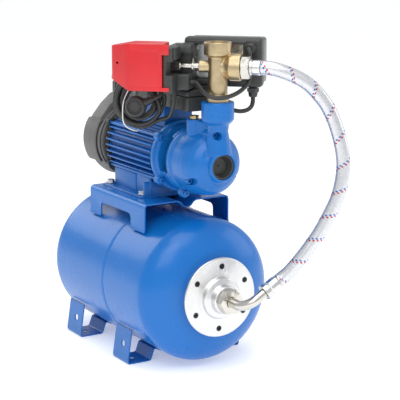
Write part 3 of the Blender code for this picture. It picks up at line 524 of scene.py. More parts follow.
KEPT = {
    RUBBER: ["tank_bladder", "casing_seal", "seal_rotor"],
    COPPER: ["wound_stator"],
    IRON: ["rotor_core", "casing_cover"],
    GROUND: ["shaft", "rear_bearing", "front_bearing", "pressure_spring"],
    BRASS: ["impeller"],
    PALE: ["cooling_fan", "terminal_block", "run_capacitor"],
    ZINC: ["pressure_lever", "pressure_diaphragm"],
}
for finish_of_node, names in KEPT.items():
    for name in names:
        mesh = frame["nodes"][name].data
        mesh.materials.clear()
        mesh.materials.append(finish_of_node)


# ---- camera ---------------------------------------------------------------------------------

AZIMUTH, ELEVATION = math.radians(59.22), math.radians(12.06)
TARGET = FLOOR @ Vector((-72.43, 0.0, 312.51))
DISTANCE = 2.66487
LENS, SENSOR_WIDTH = 130.92, 36.0

camera = bpy.data.objects.new("camera", bpy.data.cameras.new("camera"))
bpy.context.scene.collection.objects.link(camera)
bpy.context.scene.camera = camera
camera.data.lens = LENS
camera.data.sensor_width = SENSOR_WIDTH
away = Vector((math.sin(AZIMUTH) * math.cos(ELEVATION), -math.cos(AZIMUTH) * math.cos(ELEVATION),
               math.sin(ELEVATION)))
camera.location = TARGET + away * DISTANCE
camera.rotation_mode = "QUATERNION"
camera.rotation_quaternion = away.to_track_quat("Z", "Y")


# ---- hose, cables and cord ------------------------------------------------------------------

# Routes given as listed points. The hose and the motor cable run in FLOOR, the others in PORT.
HOSE_ROUTE = [
    (43.0, 55.9, 564.0), (47.6, 60.7, 564.0), (55.0, 69.5, 563.0), (64.5, 84.0, 558.5),
    (77.5, 109.0, 547.0), (88.0, 128.0, 533.0), (97.0, 143.0, 515.0), (105.0, 154.5, 496.0),
    (112.0, 164.0, 472.0), (118.0, 171.0, 445.0), (122.5, 175.5, 419.0), (125.0, 177.0, 391.0),
    (126.0, 173.0, 362.0), (124.5, 165.5, 334.0), (121.0, 155.0, 310.0), (114.5, 135.5, 272.5),
    (104.5, 111.0, 235.0), (93.5, 89.5, 205.0), (86.5, 76.5, 191.8), (85.0, 71.0, 187.7),
    (85.0, 66.4, 184.9),
]
SWITCH_CABLE = [
    (50.0, 38.0, 29.5), (50.0, 31.0, 29.5), (50.8, 26.5, 26.0), (52.2, 24.4, 17.5),
    (53.6, 25.8, 8.0), (54.0, 27.2, -2.0), (54.0, 26.8, -13.0), (51.5, 22.0, -27.0),
    (45.0, 11.0, -38.0), (35.0, -3.0, -46.0), (22.0, -16.0, -51.0), (8.0, -24.5, -52.5),
    (-6.0, -26.5, -50.5), (-20.0, -19.5, -44.5), (-31.0, -8.5, -36.0), (-39.0, -1.8, -30.2),
    (-44.0, 0.0, -28.6), (-49.5, 0.0, -28.5),
]
MOTOR_CABLE = [
    (-16.6, 77.7, 503.4), (-16.6, 77.7, 496.5), (-16.2, 74.5, 487.5), (-17.5, 66.0, 481.0),
    (-22.0, 54.0, 479.0), (-28.0, 42.0, 481.5), (-33.5, 31.0, 486.5), (-38.0, 22.4, 491.4),
    (-42.0, 20.0, 493.0), (-49.0, 20.0, 493.0), (-57.0, 20.0, 493.0),
]
CORD_LEAD = [
    (-79.5, -5.0, -55.0), (-79.5, -5.0, -61.0), (-80.5, -3.0, -70.0), (-83.5, 3.0, -80.5),
    (-88.5, 12.0, -89.5), (-94.0, 21.0, -95.5), (-99.5, 28.5, -98.7),
]
CORD_TAIL = [
    (-104.5, 25.0, -34.0), (-101.5, 17.5, -40.5), (-102.0, 9.5, -48.5), (-107.0, 4.0, -55.5),
    (-114.0, 2.0, -59.5), (-119.4, 2.0, -61.9),
]
HOSE_R = 12.5
CABLE_R = 3.9
CORD_R = 3.75
COIL_CENTRE = (-152.0, 31.0, -70.6)
COIL_MEAN = 36.5               # radius of the middle of the turns
COIL_TURNS = 6
BUNDLE = (10.5, 7.6)           # half sizes of the oval that the turns lie round
COIL_START, COIL_END = -50.0, 68.0


def bundle_place(turns):
    """(radius, y) of the cord after some turns; it moves to the next place at each turn's end."""
    whole = int(turns)
    part = max(0.0, (turns - whole - 0.82) / 0.18)
    spot = 60.0 * (whole + part * part * (3 - 2 * part))
    out, side = on_circle(1.0, spot)
    return COIL_MEAN + BUNDLE[0] * out, COIL_CENTRE[1] + BUNDLE[1] * side


def coil_turns():
    """The cord's turns, clockwise seen along Y."""
    start, end = COIL_START + 30.0, COIL_END - 360.0 * COIL_TURNS + 30.0
    count = 24 * COIL_TURNS
    made = []
    for i in range(count + 1):
        angle = start + (end - start) * i / count
        radius, y = bundle_place(-angle / 360.0)
        x, z = on_circle(radius, angle - 30.0)
        made.append((COIL_CENTRE[0] + x, y, COIL_CENTRE[2] + z))
    return made


def cable(name, space, route, radius):
    """A smooth round cable as one open curve; gives it and its length in metres."""
    points = [space @ Vector(p) for p in route]
    curve = bpy.data.curves.new(name, "CURVE")
    curve.dimensions = "3D"
    curve.bevel_depth = radius * MM
    curve.bevel_resolution = 5
    curve.use_fill_caps = True
    spline = curve.splines.new("POLY")
    spline.points.add(len(points) - 1)
    for point, place in zip(spline.points, points):
        point.co = (*place, 1.0)
    obj = bpy.data.objects.new(name, curve)
    bpy.context.scene.collection.objects.link(obj)
    curve.materials.append(RUBBER)
    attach(obj, ROOT)
    return obj, sum((b - a).length for a, b in zip(points, points[1:]))


def weave(along, turn):
    """Height of the braid: flat bundles of wire that cross over and under each other."""
    one = BRAID_ENDS * (along / BRAID_PITCH - turn / (2 * math.pi))
    two = BRAID_ENDS * (along / BRAID_PITCH + turn / (2 * math.pi))
    over = 0.5 + 0.5 * math.sin(math.pi * one) * math.sin(math.pi * two)
    height = over * abs(math.cos(math.pi * one)) + (1 - over) * abs(math.cos(math.pi * two))
    return BRAID_HEIGHT * height - BRAID_SINK


hose_line = catmull(HOSE_ROUTE, 1.6)
hose = swept(FLOOR, hose_line, HOSE_R, 72, weave)
hose.name = "braided_hose_weave"
hose.data.materials.append(BRAID)
hose.data.shade_smooth()
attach(hose, ROOT)
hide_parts("braided_hose")

switch_line = catmull(SWITCH_CABLE, 3.0)
switch_cable, switch_length = cable("switch_cable_sheath", PORT, switch_line, CABLE_R)
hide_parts("switch_cable")
motor_line = catmull(MOTOR_CABLE, 3.0)
motor_cable, motor_length = cable("motor_cable_sheath", FLOOR, motor_line, CABLE_R)
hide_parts("motor_cable")
cord_line = catmull(CORD_LEAD + coil_turns() + CORD_TAIL, 4.0)
mains_cord, cord_length = cable("mains_cord_sheath", PORT, cord_line, CORD_R)
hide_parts("mains_cord_lead", "mains_cord_coil", "mains_cord_tail")


# ---- tank, flange, feet and saddle ----------------------------------------------------------

TANK_R = 135.0
TANK_AXIS_Z = 145.0
HEAD_DEPTH = 62.0
TANK_FRONT, TANK_REAR = -69.0, -400.0
FLANGE_BOLTS = [on_circle(58.0, 87 - 60 * k) for k in range(6)]
FOOT_BOLTS = [(-187.0, -57.0), (-187.0, 57.0), (-317.0, -57.0), (-317.0, 57.0)]
FOOT_HALF = 30.0               # half the width of a foot's strip
STRIP_T = 2.5
SADDLE_X = (-339, -119)
SADDLE_HALF = 88
SADDLE_TOP = 301.7
SADDLE_T = 3.0
LIP_R = 138.3                  # the lips' outer face, about the tank's axis
WELD_XS = (-326, -306, -160, -133)


def dome(start, sign, rim, count):
    """(radius, x) of a tank head from its rim hole out to the shell."""
    first = math.asin(rim / TANK_R)
    made = []
    for i in range(count + 1):
        a = first + (math.pi / 2 - first) * i / count
        made.append((TANK_R * math.sin(a), start + sign * HEAD_DEPTH * math.cos(a)))
    return made


def seam(x):
    """A weld bead round the shell."""
    half = [(TANK_R, 12.0), (TANK_R, 6.0), (TANK_R, 4.0), (TANK_R - 0.5, 2.6), (TANK_R + 0.3, 1.5)]
    return ([(r, x + reach) for r, reach in half] + [(TANK_R + 0.7, x)]
            + [(r, x - reach) for r, reach in half[::-1]])


def build_tank():
    profile = [(0, -8), (64, -8), (64, -6.6), (66.4, -6.3), (67, -7.0), (67, -13.5)]
    profile += dome(TANK_FRONT, 1, 70.0, 24)
    profile += [(TANK_R, TANK_FRONT - 20)] + seam(-206.0) + [(TANK_R, TANK_REAR + 20)]
    profile += dome(TANK_REAR, -1, 14.0, 22)[::-1] + [(12, -462.6), (9, -465), (0, -465)]
    finish(lathe(TANK, profile, steps=180), "tank_skin", BLUE, "tank_shell", angle=40)

    valve = lathe(TANK, [(0, -489), (3, -489), (4, -488), (4, -474), (8.4, -473.2), (9, -472),
                         (9, -465.2), (5.2, -462.8), (5.2, -455), (0, -455)], steps=48)
    cap = lathe(TANK, [(0, -490.5), (4.6, -490.5), (5.6, -489), (5.8, -477), (0, -477)], steps=48)
    finish(valve, "air_valve_stem", BRASS, "air_valve")
    finish(cap, "air_valve_cap", BLACK)


def build_flange():
    profile = [(24, 24), (26, 22), (27, 10), (36, 9), (38, 7), (39, 0), (72.5, 0), (74, -1.5),
               (74, -6), (16.5, -6), (16.5, 24)]
    flange = lathe(TANK, soften(profile, 2.2, True, 5), steps=144)
    boss = rod(TANK, 5.5, -3, 2.0, "X", (9.0, 47.5), 40, 1.4)
    fuse(flange, boss)
    carve(flange, *rods(TANK, 5.4, -4, 3, "X", FLANGE_BOLTS, 40))
    carve(flange, *rods(TANK, 3.6, -9, -3, "X", FLANGE_BOLTS, 24))
    finish(flange, "flange_turned", FLANGE, "tank_flange", edge=0.4, angle=30)
    screws = [socket_screw(TANK, 5.0, -3.7, 3.0, spot, 2.4) for spot in FLANGE_BOLTS]
    finish(gathered(*screws), "flange_screws", SCREW)


def strip_foot(node, middle):
    """A bent strip with a cradle under the tank, pierced ears and rolled corners."""
    rise = TANK_R + 1.0 + STRIP_T
    half = [(-114.0, 66.0), (-123.0, 6.0), (-121.0, 0.0), (-76.0, 0.0), (-72.0, 3.0)]
    half += [(y, TANK_AXIS_Z + z) for y, z in (on_circle(rise, a) for a in range(-118, -90, 4))]
    path = half + [(-y, z) for y, z in half[::-1]]
    foot = sheet_metal(FLOOR, path, (middle - FOOT_HALF, middle + FOOT_HALF), STRIP_T, 5.0)
    tools = []
    for side in (-1, 1):
        tools.append(rod(FLOOR, 5.0, -5, 8, "Z", (middle, side * 98), 40))
        reach = sorted((side * 128, side * 104))
        tools.append(rod(FLOOR, 6.3, *reach, "Y", (middle + 4, 35), 48))
    carve(foot, *tools)
    finish(foot, node + "_strip", BLUE_CAST, node, edge=0.5, angle=35)


def build_saddle():
    """Folded plate with a stiffening trough, a window in each side and lips on the tank."""
    inner, outer = [on_circle(LIP_R, a) for a in (125.5, 130.5)]
    half = [(outer[0], TANK_AXIS_Z + outer[1]), (-SADDLE_HALF, TANK_AXIS_Z + inner[1] - 1.5),
            (-SADDLE_HALF, SADDLE_TOP), (-17, SADDLE_TOP), (-7, SADDLE_TOP - 12)]
    path = half + [(-y, z) for y, z in half[::-1]]
    saddle = sheet_metal(FLOOR, path[::-1], SADDLE_X, -SADDLE_T, 6.0)
    window = block(FLOOR, (-294, -173), (-130, 130), (200, 278), 9.0, 4)
    carve(saddle, window, *rods(FLOOR, 4.5, 290, 310, "Z", FOOT_BOLTS, 32))
    finish(saddle, "saddle_plate", BLUE, "pump_saddle", edge=0.6, angle=35)
    welds = []
    for x in WELD_XS:
        for side in (-1, 1):
            place = on_circle(136.6, 129.0)
            bead = block(FLOOR, (x - 5, x + 5), (-2.2, 2.2), (-1.6, 1.6), 1.5, 3)
            turn = Matrix.Rotation(math.radians(side * 38), 4, "X")
            spot = FLOOR @ Vector((x, side * -place[0], TANK_AXIS_Z + place[1]))
            middle = FLOOR @ Vector((x, 0, 0))
            bead.data.transform(Matrix.Translation(spot) @ turn @ Matrix.Translation(-middle))
            welds.append(bead)
    finish(gathered(*welds), "saddle_welds", BLUE_CAST)


build_tank()
build_flange()
strip_foot("front_foot", -160.0)
strip_foot("rear_foot", -359.0)
build_saddle()


# ---- motor ----------------------------------------------------------------------------------

FRAME_X = (-318.0, -138.3)
FRAME_R = 57.0
STATOR_BORE_R = 52.3
FIN_R = 68.0
FIN_PITCH = 11.2
FOOT_LOW, FOOT_TOP = -84.1, -77.6
BEARING_R = 15.3
TIE_HOLE_R = 3.3
TERMINAL_ENTRY = (20, 106.5)
BOX_DUCT = (-260, -230)        # where the wires pass from the box into the motor
# (y, z) outline of the fan cover's hood, which rises behind the terminal box.
HOOD = [(-66, 36), (-62, 47), (-44, 69), (-20, 90), (20, 90), (44, 69), (62, 47), (66, 36)]
TIES = [(y, z) for y in (-53.0, 53.0) for z in (-40.5, 40.5)]


def build_motor():
    x0, x1 = FRAME_X
    shell = rod(SHAFT, FRAME_R, x0, x1, "X", (0, 0), 128, 1.0)
    parts = []
    for k in range(-3, 4):
        z = FIN_PITCH * k
        reach = math.sqrt(FIN_R ** 2 - z ** 2)
        parts.append(block(SHAFT, (x0 + 2, x1 - 2), (-reach, reach), (z - 1.5, z + 1.5), 1.2, 3))
    for k in (-1, 0, 1):
        for side in (-1, 1):
            y = side * 41
            parts.append(block(SHAFT, (x0 + 2, x1 - 2), (y - 1.5 + 6 * k, y + 1.5 + 6 * k),
                               (-20, 48 - 4 * side * k), 1.2, 3))
    parts.append(block(SHAFT, (-327, -170), (-70, 70), (FOOT_LOW, -77.9), 2.4, 3))
    parts.append(block(SHAFT, (-307, -222), (-53, 53), (-81, -44), 2.4, 3))
    parts.append(block(SHAFT, (-317.5, -176), (-40, 40), (-81, -46), 2.4, 3))
    parts.append(block(SHAFT, (-177, -171), (-62, 62), (-81, -52), 1.6, 3))
    parts.append(block(SHAFT, (-312, -150), (-30, 30), (40, 92.6), 2.4, 3))
    for side in (-1, 1):
        parts.append(block(SHAFT, (-312, -170), (side * 48 - 3, side * 48 + 3), (-81, -40), 2.0, 3))
    fuse(shell, *parts)
    tools = [rod(SHAFT, STATOR_BORE_R, x0 - 5, x1 + 5, "X", (0, 0), 96),
             block(SHAFT, BOX_DUCT, (-15, 15), (45, 100)),
             block(SHAFT, (-298, -206), (-80, 80), (-90, -81.9))]
    for x, y in ((-300, -44), (-300, 3), (-245, -44), (-245, 3)):
        tools.append(block(SHAFT, (x, x + 50), (y, y + 41), (-90, -66)))
    carve(shell, *tools)
    finish(shell, "motor_housing", BLUE_MOTOR, "motor_frame", edge=0.5, angle=32)

    for k, (x, y) in enumerate(FOOT_BOLTS):
        washer = rod(SHAFT, 9.5, FOOT_TOP, FOOT_TOP + 1.5, "Z", (x, y), 48, 0.4)
        head = hexagon(SHAFT, 7.5, FOOT_TOP + 1.5, FOOT_TOP + 6.8, 0, (x, y), "Z")
        shank = rod(SHAFT, 4.0, -96, FOOT_TOP + 1, "Z", (x, y), 24)
        finish(gathered(head, washer, shank), f"foot_bolt_zinc_{k + 1}", ZINC, f"foot_bolt_{k + 1}")

    ties = []
    for spot in TIES:
        ties.append(socket_screw(SHAFT, 5.2, -121.7, 5.0, spot, 2.6))
        ties.append(rod(SHAFT, 3.0, -333, -121, "X", spot, 24))
        ties.append(hexagon(SHAFT, 5.6, -333.5, -329.2, 0, spot, "X"))
    finish(gathered(*ties), "tie_bolts", BLUE_MOTOR)


def build_rear_end():
    profile = [(61, -318.4), (61, -330), (50, -337), (22, -339), (BEARING_R, -339),
               (BEARING_R, -318.4)]
    shield = lathe(SHAFT, soften(profile, 3.5, True, 5), steps=120)
    knobs = [on_circle(60.4, 10 * k) for k in range(36)]
    fuse(shield, *rods(SHAFT, 7.6, -329, -318.7, "X", TIES, 48, 1.2),
         *rods(SHAFT, 3.9, -335, -319.2, "X", knobs, 24, 1.0))
    carve(shield, *rods(SHAFT, TIE_HOLE_R, -340, -310, "X", TIES, 24))
    finish(shield, "rear_shield_casting", DARK, "rear_shield", edge=0.5)

    shape = [(0, -337), (68.5, -337), (70, -339), (74, -374), (73, -380), (66, -386), (0, -386)]
    cover = lathe(SHAFT, soften(shape, 5.0, False, 6), steps=144)
    fuse(cover, disc_band(74.5, -402, -350, 42, 5.0),
         prism(SHAFT, soften(HOOD, 5.0, True), -385, -346.5, "X", 2.5))
    tools = [disc_band(72.0, -399.5, -336, 39.5, 2.0),
             lathe(SHAFT, [(0, -330), (67.8, -330), (67.8, -339), (71.5, -373), (64, -383.5),
                           (0, -383.5)], steps=96)]
    carve(cover, *tools)
    carve(cover, *[block(SHAFT, (-410, -395), (-50, 50), (7 * k - 1.8, 7 * k + 1.8), 1.2, 3)
                   for k in range(-4, 5)])
    finish(cover, "fan_cover_moulding", GREY, "fan_cover", edge=0.5, angle=35)
    rim = lathe(SHAFT, [(70.4, -337.2), (71.3, -338), (71.3, -342), (70.4, -343), (69.5, -343),
                        (69.5, -337.2)], steps=144)
    finish(rim, "fan_cover_rim", GREY)


def disc_band(radius, low, high, half, edge):
    """The part of a disc within half of its level diameter."""
    top = math.degrees(math.asin(half / radius))
    outline = []
    for side in (0, 180):
        outline += [on_circle(radius, side - top + 2 * top * i / 15) for i in range(16)]
    return prism(SHAFT, outline, low, high, "X", edge)


def build_terminal_box():
    box = block(SHAFT, (-345, -55), (-38, 38), (93, 119.6), 4.0, 4)
    parts = [rod(SHAFT, 9.5, -57, -51.5, "X", TERMINAL_ENTRY, 48, 1.0),
             hexagon(SHAFT, 9.9, -53, -47.5, 0, TERMINAL_ENTRY)]
    for k in range(7):
        x = -330 + 43.3 * k
        for side in (-1, 1):
            y = side * 38.4
            parts.append(block(SHAFT, (x, x + 2.4), (y - 0.8, y + 0.8), (95, 117), 0.6, 2))
    fuse(box, *parts)
    pocket = block(SHAFT, (-341, -59), (-34, 34), (96, 130), 2.0, 2)
    carve(box, pocket, block(SHAFT, BOX_DUCT, (-14, 14), (85, 105)),
          rod(SHAFT, 4.5, -70, -40, "X", TERMINAL_ENTRY, 32))
    finish(box, "terminal_box_moulding", BLACK, "terminal_box", edge=0.3)

    lid = block(SHAFT, (-346, -54), (-39, 39), (120.3, 131.5), 3.6, 5)
    fuse(lid, block(SHAFT, (-328, -72), (-24, 24), (130, 132.3), 0.9, 3))
    carve(lid, block(SHAFT, (-341, -59), (-34, 34), (110, 128), 2.0, 2))
    corners = [(x, y) for x in (-339, -61) for y in (-32, 32)]
    carve(lid, *rods(SHAFT, 4.2, 129.3, 135, "Z", corners, 32))
    finish(lid, "terminal_lid_moulding", BLACK, "terminal_box_lid", edge=0.4)
    screws = gathered(*rods(SHAFT, 3.6, 127.6, 130.6, "Z", corners, 32, 0.8))
    slots = [block(SHAFT, (x - 3, x + 3), (y - 0.5, y + 0.5), (129.9, 132)) for x, y in corners]
    finish(carve(screws, *slots), "terminal_lid_screws", ZINC)


build_motor()
build_rear_end()
build_terminal_box()


# ---- pump -----------------------------------------------------------------------------------

PORT_X = -11.0
FILLER = (-58.0, -20.0)
BODY_BOLTS = [(*on_circle(57.0, 100), -12.0), (*on_circle(53.6, 210), -38.0),
              (*on_circle(53.6, 330), -38.0)]
DRAIN = (-31.6, -57.5)


def build_lantern():
    profile = [(68, -138), (68, -128), (63, -128), (60, -124), (60, -98), (63, -96), (63, -86.3),
               (50, -86.3), (50, -112), (42, -121), (26, -124), (BEARING_R, -127), (BEARING_R, -138)]
    shapes = [lathe(SHAFT, soften(profile, 2.5, True, 4), steps=120),
              *rods(SHAFT, 8.6, -138, -121.8, "X", TIES, 48, 2.0)]
    lantern = casting(0.9, 6, *shapes)
    tools = [block(SHAFT, (-121, -88), (-80, 80), (-22, 44), 3.0, 4),
             block(SHAFT, (-121, -97.5), (-80, 80), (30, 90), 3.0, 4),
             rod(SHAFT, BEARING_R, -150, -100, "X", (0, 0), 64)]
    carve(lantern, *tools, *rods(SHAFT, TIE_HOLE_R, -145, -110, "X", TIES, 24))
    finish(lantern, "lantern_casting", BLUE_CAST, "lantern", angle=50)


def build_pump_body():
    profile = [(0, 9.6), (27.4, 9.6), (27.6, 0), (31, -4), (41, -9), (50, -16), (56, -26), (59, -38),
               (60, -52), (60, -75), (63, -77), (63, -86), (0, -86)]
    shapes = [lathe(SHAFT, soften(profile, 2.4, False, 4), steps=128)]
    boss = [(0, 116), (29.3, 116), (29.3, 84), (26, 79.5), (20.6, 75), (18.6, 62), (22, 45),
            (26, 20), (0, 20)]
    shapes.append(lathe(SHAFT, soften(boss, 3.0, False, 4), "Z", (PORT_X, 0), 96))
    shapes.append(rod(SHAFT, 14.5, 26, 79.8, "Z", FILLER, 64, 1.6))
    shapes.append(rod(SHAFT, 8.6, -85.8, -70, "X", DRAIN, 48, 1.5))
    shapes.append(rod(SHAFT, 9.8, -76, -9, "X", BODY_BOLTS[0][:2], 48, 2.0))
    web = block(SHAFT, (-24, 24), (-8, 8), (30, 78.5), 3.0, 4)
    angle = math.atan2(-FILLER[1], PORT_X - FILLER[0])
    middle = SHAFT @ Vector(((FILLER[0] + PORT_X) / 2, FILLER[1] / 2, 0))
    start = SHAFT @ Vector((0, 0, 0))
    web.data.transform(Matrix.Translation(middle) @ Matrix.Rotation(angle, 4, "Z")
                       @ Matrix.Translation(-start))
    shapes.append(web)
    body = casting(0.85, 9, *shapes)
    tools = [lathe(SHAFT, [(0, 20), (23.4, 20), (23, 0), (17, -0.5), (17, -20), (42, -20),
                           (44.5, -25), (44.5, -76), (49, -76), (49, -90), (0, -90)], steps=96),
             lathe(SHAFT, [(0, 120), (22.2, 120), (21, 114.5), (21, 88), (13, 84), (13, 68), (0, 68)],
                   "Z", (PORT_X, 0), 80),
             rod(SHAFT, 6.7, 58, 90, "Z", FILLER, 32),
             rod(SHAFT, 3.4, -90, -60, "X", DRAIN, 24)]
    for y, z, seat in BODY_BOLTS:
        profile = [(0, seat + 45), (7.6, seat + 45), (7.2, seat), (3.9, seat), (3.9, -90), (0, -90)]
        tools.append(lathe(SHAFT, profile, "X", (y, z), 48))
    carve(body, *tools)
    finish(body, "pump_casting", BLUE_CAST, "pump_body", angle=50)


def build_pump_fasteners():
    for k, (y, z, seat) in enumerate(BODY_BOLTS):
        head = socket_screw(SHAFT, 5.8, seat + 0.3, 7.2, (y, z), 2.9)
        shank = rod(SHAFT, 3.5, -96, seat + 0.2, "X", (y, z), 24)
        finish(gathered(head, shank), f"body_screw_{k + 1}", BLUE_CAST, f"body_bolt_{k + 1}")
    drain = socket_screw(SHAFT, 5.1, -69.7, 3.5, DRAIN, 2.6)
    washer = rod(SHAFT, 6.3, -69.9, -69.1, "X", DRAIN, 40, 0.2)
    finish(gathered(drain, washer, rod(SHAFT, 3.0, -84, -69.5, "X", DRAIN, 24)), "drain_screw",
           BLUE_CAST, "drain_plug")

    profile = [(0, -7.5), (14.2, -7.5), (15.2, -5.5), (18, 3.5), (19.5, 7.5), (22.6, 7.5), (22.6, 0.3),
               (16.5, 0), (16.5, -10), (0, -10)]
    plug = lathe(SHAFT, soften(profile, 0.6), steps=120)
    fuse(plug, rod(SHAFT, 1.8, -8.5, -5.6, "X", (0, 0), 32, 0.5))
    finish(plug, "suction_cap", BLACK, "suction_plug", edge=0.2)

    profile = [(0, 86.5), (7.6, 86.5), (8.4, 85.7), (8.4, 80.3), (6, 80.3), (6, 60), (0, 60)]
    filler = lathe(SHAFT, soften(profile, 0.6), "Z", FILLER, 64)
    slot = block(SHAFT, (FILLER[0] - 1, FILLER[0] + 1), (FILLER[1] - 10, FILLER[1] + 10),
                 (84.5, 90))
    finish(carve(filler, slot), "filler_screw", BRASS, "filler_plug", edge=0.2)


def build_slinger_shade_disc():
    """Rubber disc on the shaft that throws off drips before they reach the bearing; made wide and dark so
    it fills the lantern's window with painted shade.
    """
    profile = [(10.2, -103), (13, -103), (14, -106), (33, -107), (34, -108), (33, -109),
               (14, -110), (13, -113), (10.2, -113)]
    # Dark rubber, wide enough to fill the lantern's window: painted shade, not only a real slinger.
    finish(lathe(SHAFT, profile, steps=72), "slinger_and_painted_shade_disc", RUBBER, body="rotor")


build_lantern()
build_pump_body()
build_slinger_shade_disc()
build_pump_fasteners()


# ---- fitting and hose ends ------------------------------------------------------------------

def build_fitting():
    column = [(0, 43.6), (24.8, 43.6), (24.8, 22), (21.5, 19.5), (17.3, 17), (17.3, -50),
              (20.3, -53), (20.3, -75), (0, -75)]
    side = [(0, 43.2), (24.3, 43.2), (24.3, 23), (19, 18), (16, 13), (15.5, 2), (0, 2)]
    shapes = [lathe(PORT, soften(column, 1.6, False, 4), "Z", steps=96),
              lathe(PORT, soften(side, 1.6, False, 4), "X", steps=96),
              rod(PORT, 10.7, -33.2, -2, "X", (0, 0), 64, 1.0),
              rod(PORT, 10.7, 2, 29.9, "Y", (0, 0), 64, 1.0)]
    fitting = casting(0.65, 7, *shapes)
    tools = [lathe(PORT, [(0, 50), (20.4, 50), (19.5, 42.8), (19.5, 24), (12.5, 22), (12.5, -80),
                          (0, -80)], "Z", steps=80),
             lathe(PORT, [(0, 50), (14, 50), (14, 1), (0, 1)], "X", steps=64),
             rod(PORT, 4.5, -40, -1, "X", (0, 0), 32),
             rod(PORT, 4.5, 1, 40, "Y", (0, 0), 32)]
    carve(fitting, *tools)
    finish(fitting, "fitting_casting", CAST_BRASS, "five_way_fitting", angle=50)
    threads = []
    for k in range(9):
        z = 26.5 + 1.8 * k
        threads.append(lathe(PORT, [(19.8, z - 0.8), (18.9, z), (19.8, z + 0.8)], "Z", steps=72))
    finish(gathered(*threads), "fitting_thread", BRASS)


LEG_X = 85.0                   # the elbow's outer leg, and its rise above level
LEG_ANGLE = 31.0
LEG_LENGTH = 44.6
ELBOW_BEND = 26.0
NUT_BORE_R = 9.4


def build_hose_ends():
    profile = [(11, 77.4), (13.6, 76.4), (13.6, 64), (12.4, 62.6), (12.4, 61.2), (14.2, 60.2),
               (14.2, 58.1), (9, 58.1), (9, 30), (6, 30), (6, 76.9)]
    finish(lathe(PORT, soften(profile, 0.7, True), steps=96), "ferrule_top", FERRULE,
           "hose_ferrule_top")
    finish(hexagon(PORT, 22.3, 43.8, 57.8, NUT_BORE_R), "nut_top", NICKEL, "hose_nut_top",
           body="top_hose_nut", edge=0.3)
    finish(hexagon(TANK, 24.0, 24.3, 41.0, NUT_BORE_R), "nut_bottom", NICKEL, "hose_nut_bottom",
           body="bottom_hose_nut", edge=0.3)

    leg = Vector((0, *on_circle(1, LEG_ANGLE)))
    corner = Vector((LEG_X, 0, 0))
    route = [Vector((12, 0, 0)), Vector((24, 0, 0)), Vector((44, 0, 0))]
    for i in range(25):
        a = math.pi / 2 * i / 24
        route.append(corner + Vector((ELBOW_BEND * (math.sin(a) - 1), 0, 0))
                     + leg * ELBOW_BEND * (1 - math.cos(a)))
    route.append(corner + leg * LEG_LENGTH)
    elbow = swept(TANK, route, 9.0, 48)
    collar = lathe(TANK, [(0, 17), (13, 17), (13.5, 17.8), (13.5, 23.2), (12.9, 23.9), (0, 23.9)],
                   steps=72)
    ridge = lathe(TANK, [(0, 42), (10.6, 42.4), (11, 43.4), (10.6, 44.6), (0, 45)], steps=72)
    finish(gathered(elbow, collar, ridge), "elbow_tube", NICKEL, "hose_elbow", angle=45)

    profile = [(11.5, 77), (13.6, 76), (13.6, 58.4), (12.2, 57), (12.2, 55.4), (14.5, 54.2),
               (14.5, 45.2), (5, 45.2), (5, 77)]
    tilt = Matrix.Translation(corner) @ Matrix.Rotation(-math.radians(90 - LEG_ANGLE), 4, "X")
    finish(lathe(TANK @ tilt, soften(profile, 0.7, True), "Z", steps=96), "ferrule_bottom", FERRULE,
           "hose_ferrule_bottom")


build_fitting()
build_hose_ends()


# ---- dry-running switch ---------------------------------------------------------------------

COVER_OUTLINE = [(-88.3, -50), (-151, -50), (-187, -30), (-187, -10), (-150, 6), (-88.3, 6)]
COVER_Z = (-41.0, 41.5)
COVER_SHOULDER, COVER_SLOPE_LENGTH = 151.0, 36.0
COVER_TOP_SLOPE, COVER_LOW_SLOPE = 0.14, 0.45
MAINS_ENTRY = (-79.5, -5)


def cover_shape(outline, z, edge):
    """The red cover's outline raised and rounded, sloping at its far end."""
    shape = prism(PORT, soften(outline, edge, True, 6), z[0], z[1], "Z", edge * 0.55, 5)
    back = PORT.inverted()
    for vertex in shape.data.vertices:
        place = back @ vertex.co
        far = (-place.x - COVER_SHOULDER) / COVER_SLOPE_LENGTH
        if far > 0:
            place.z *= 1 - far * (COVER_TOP_SLOPE if place.z > 0 else COVER_LOW_SLOPE)
            vertex.co = PORT @ place
    return shape


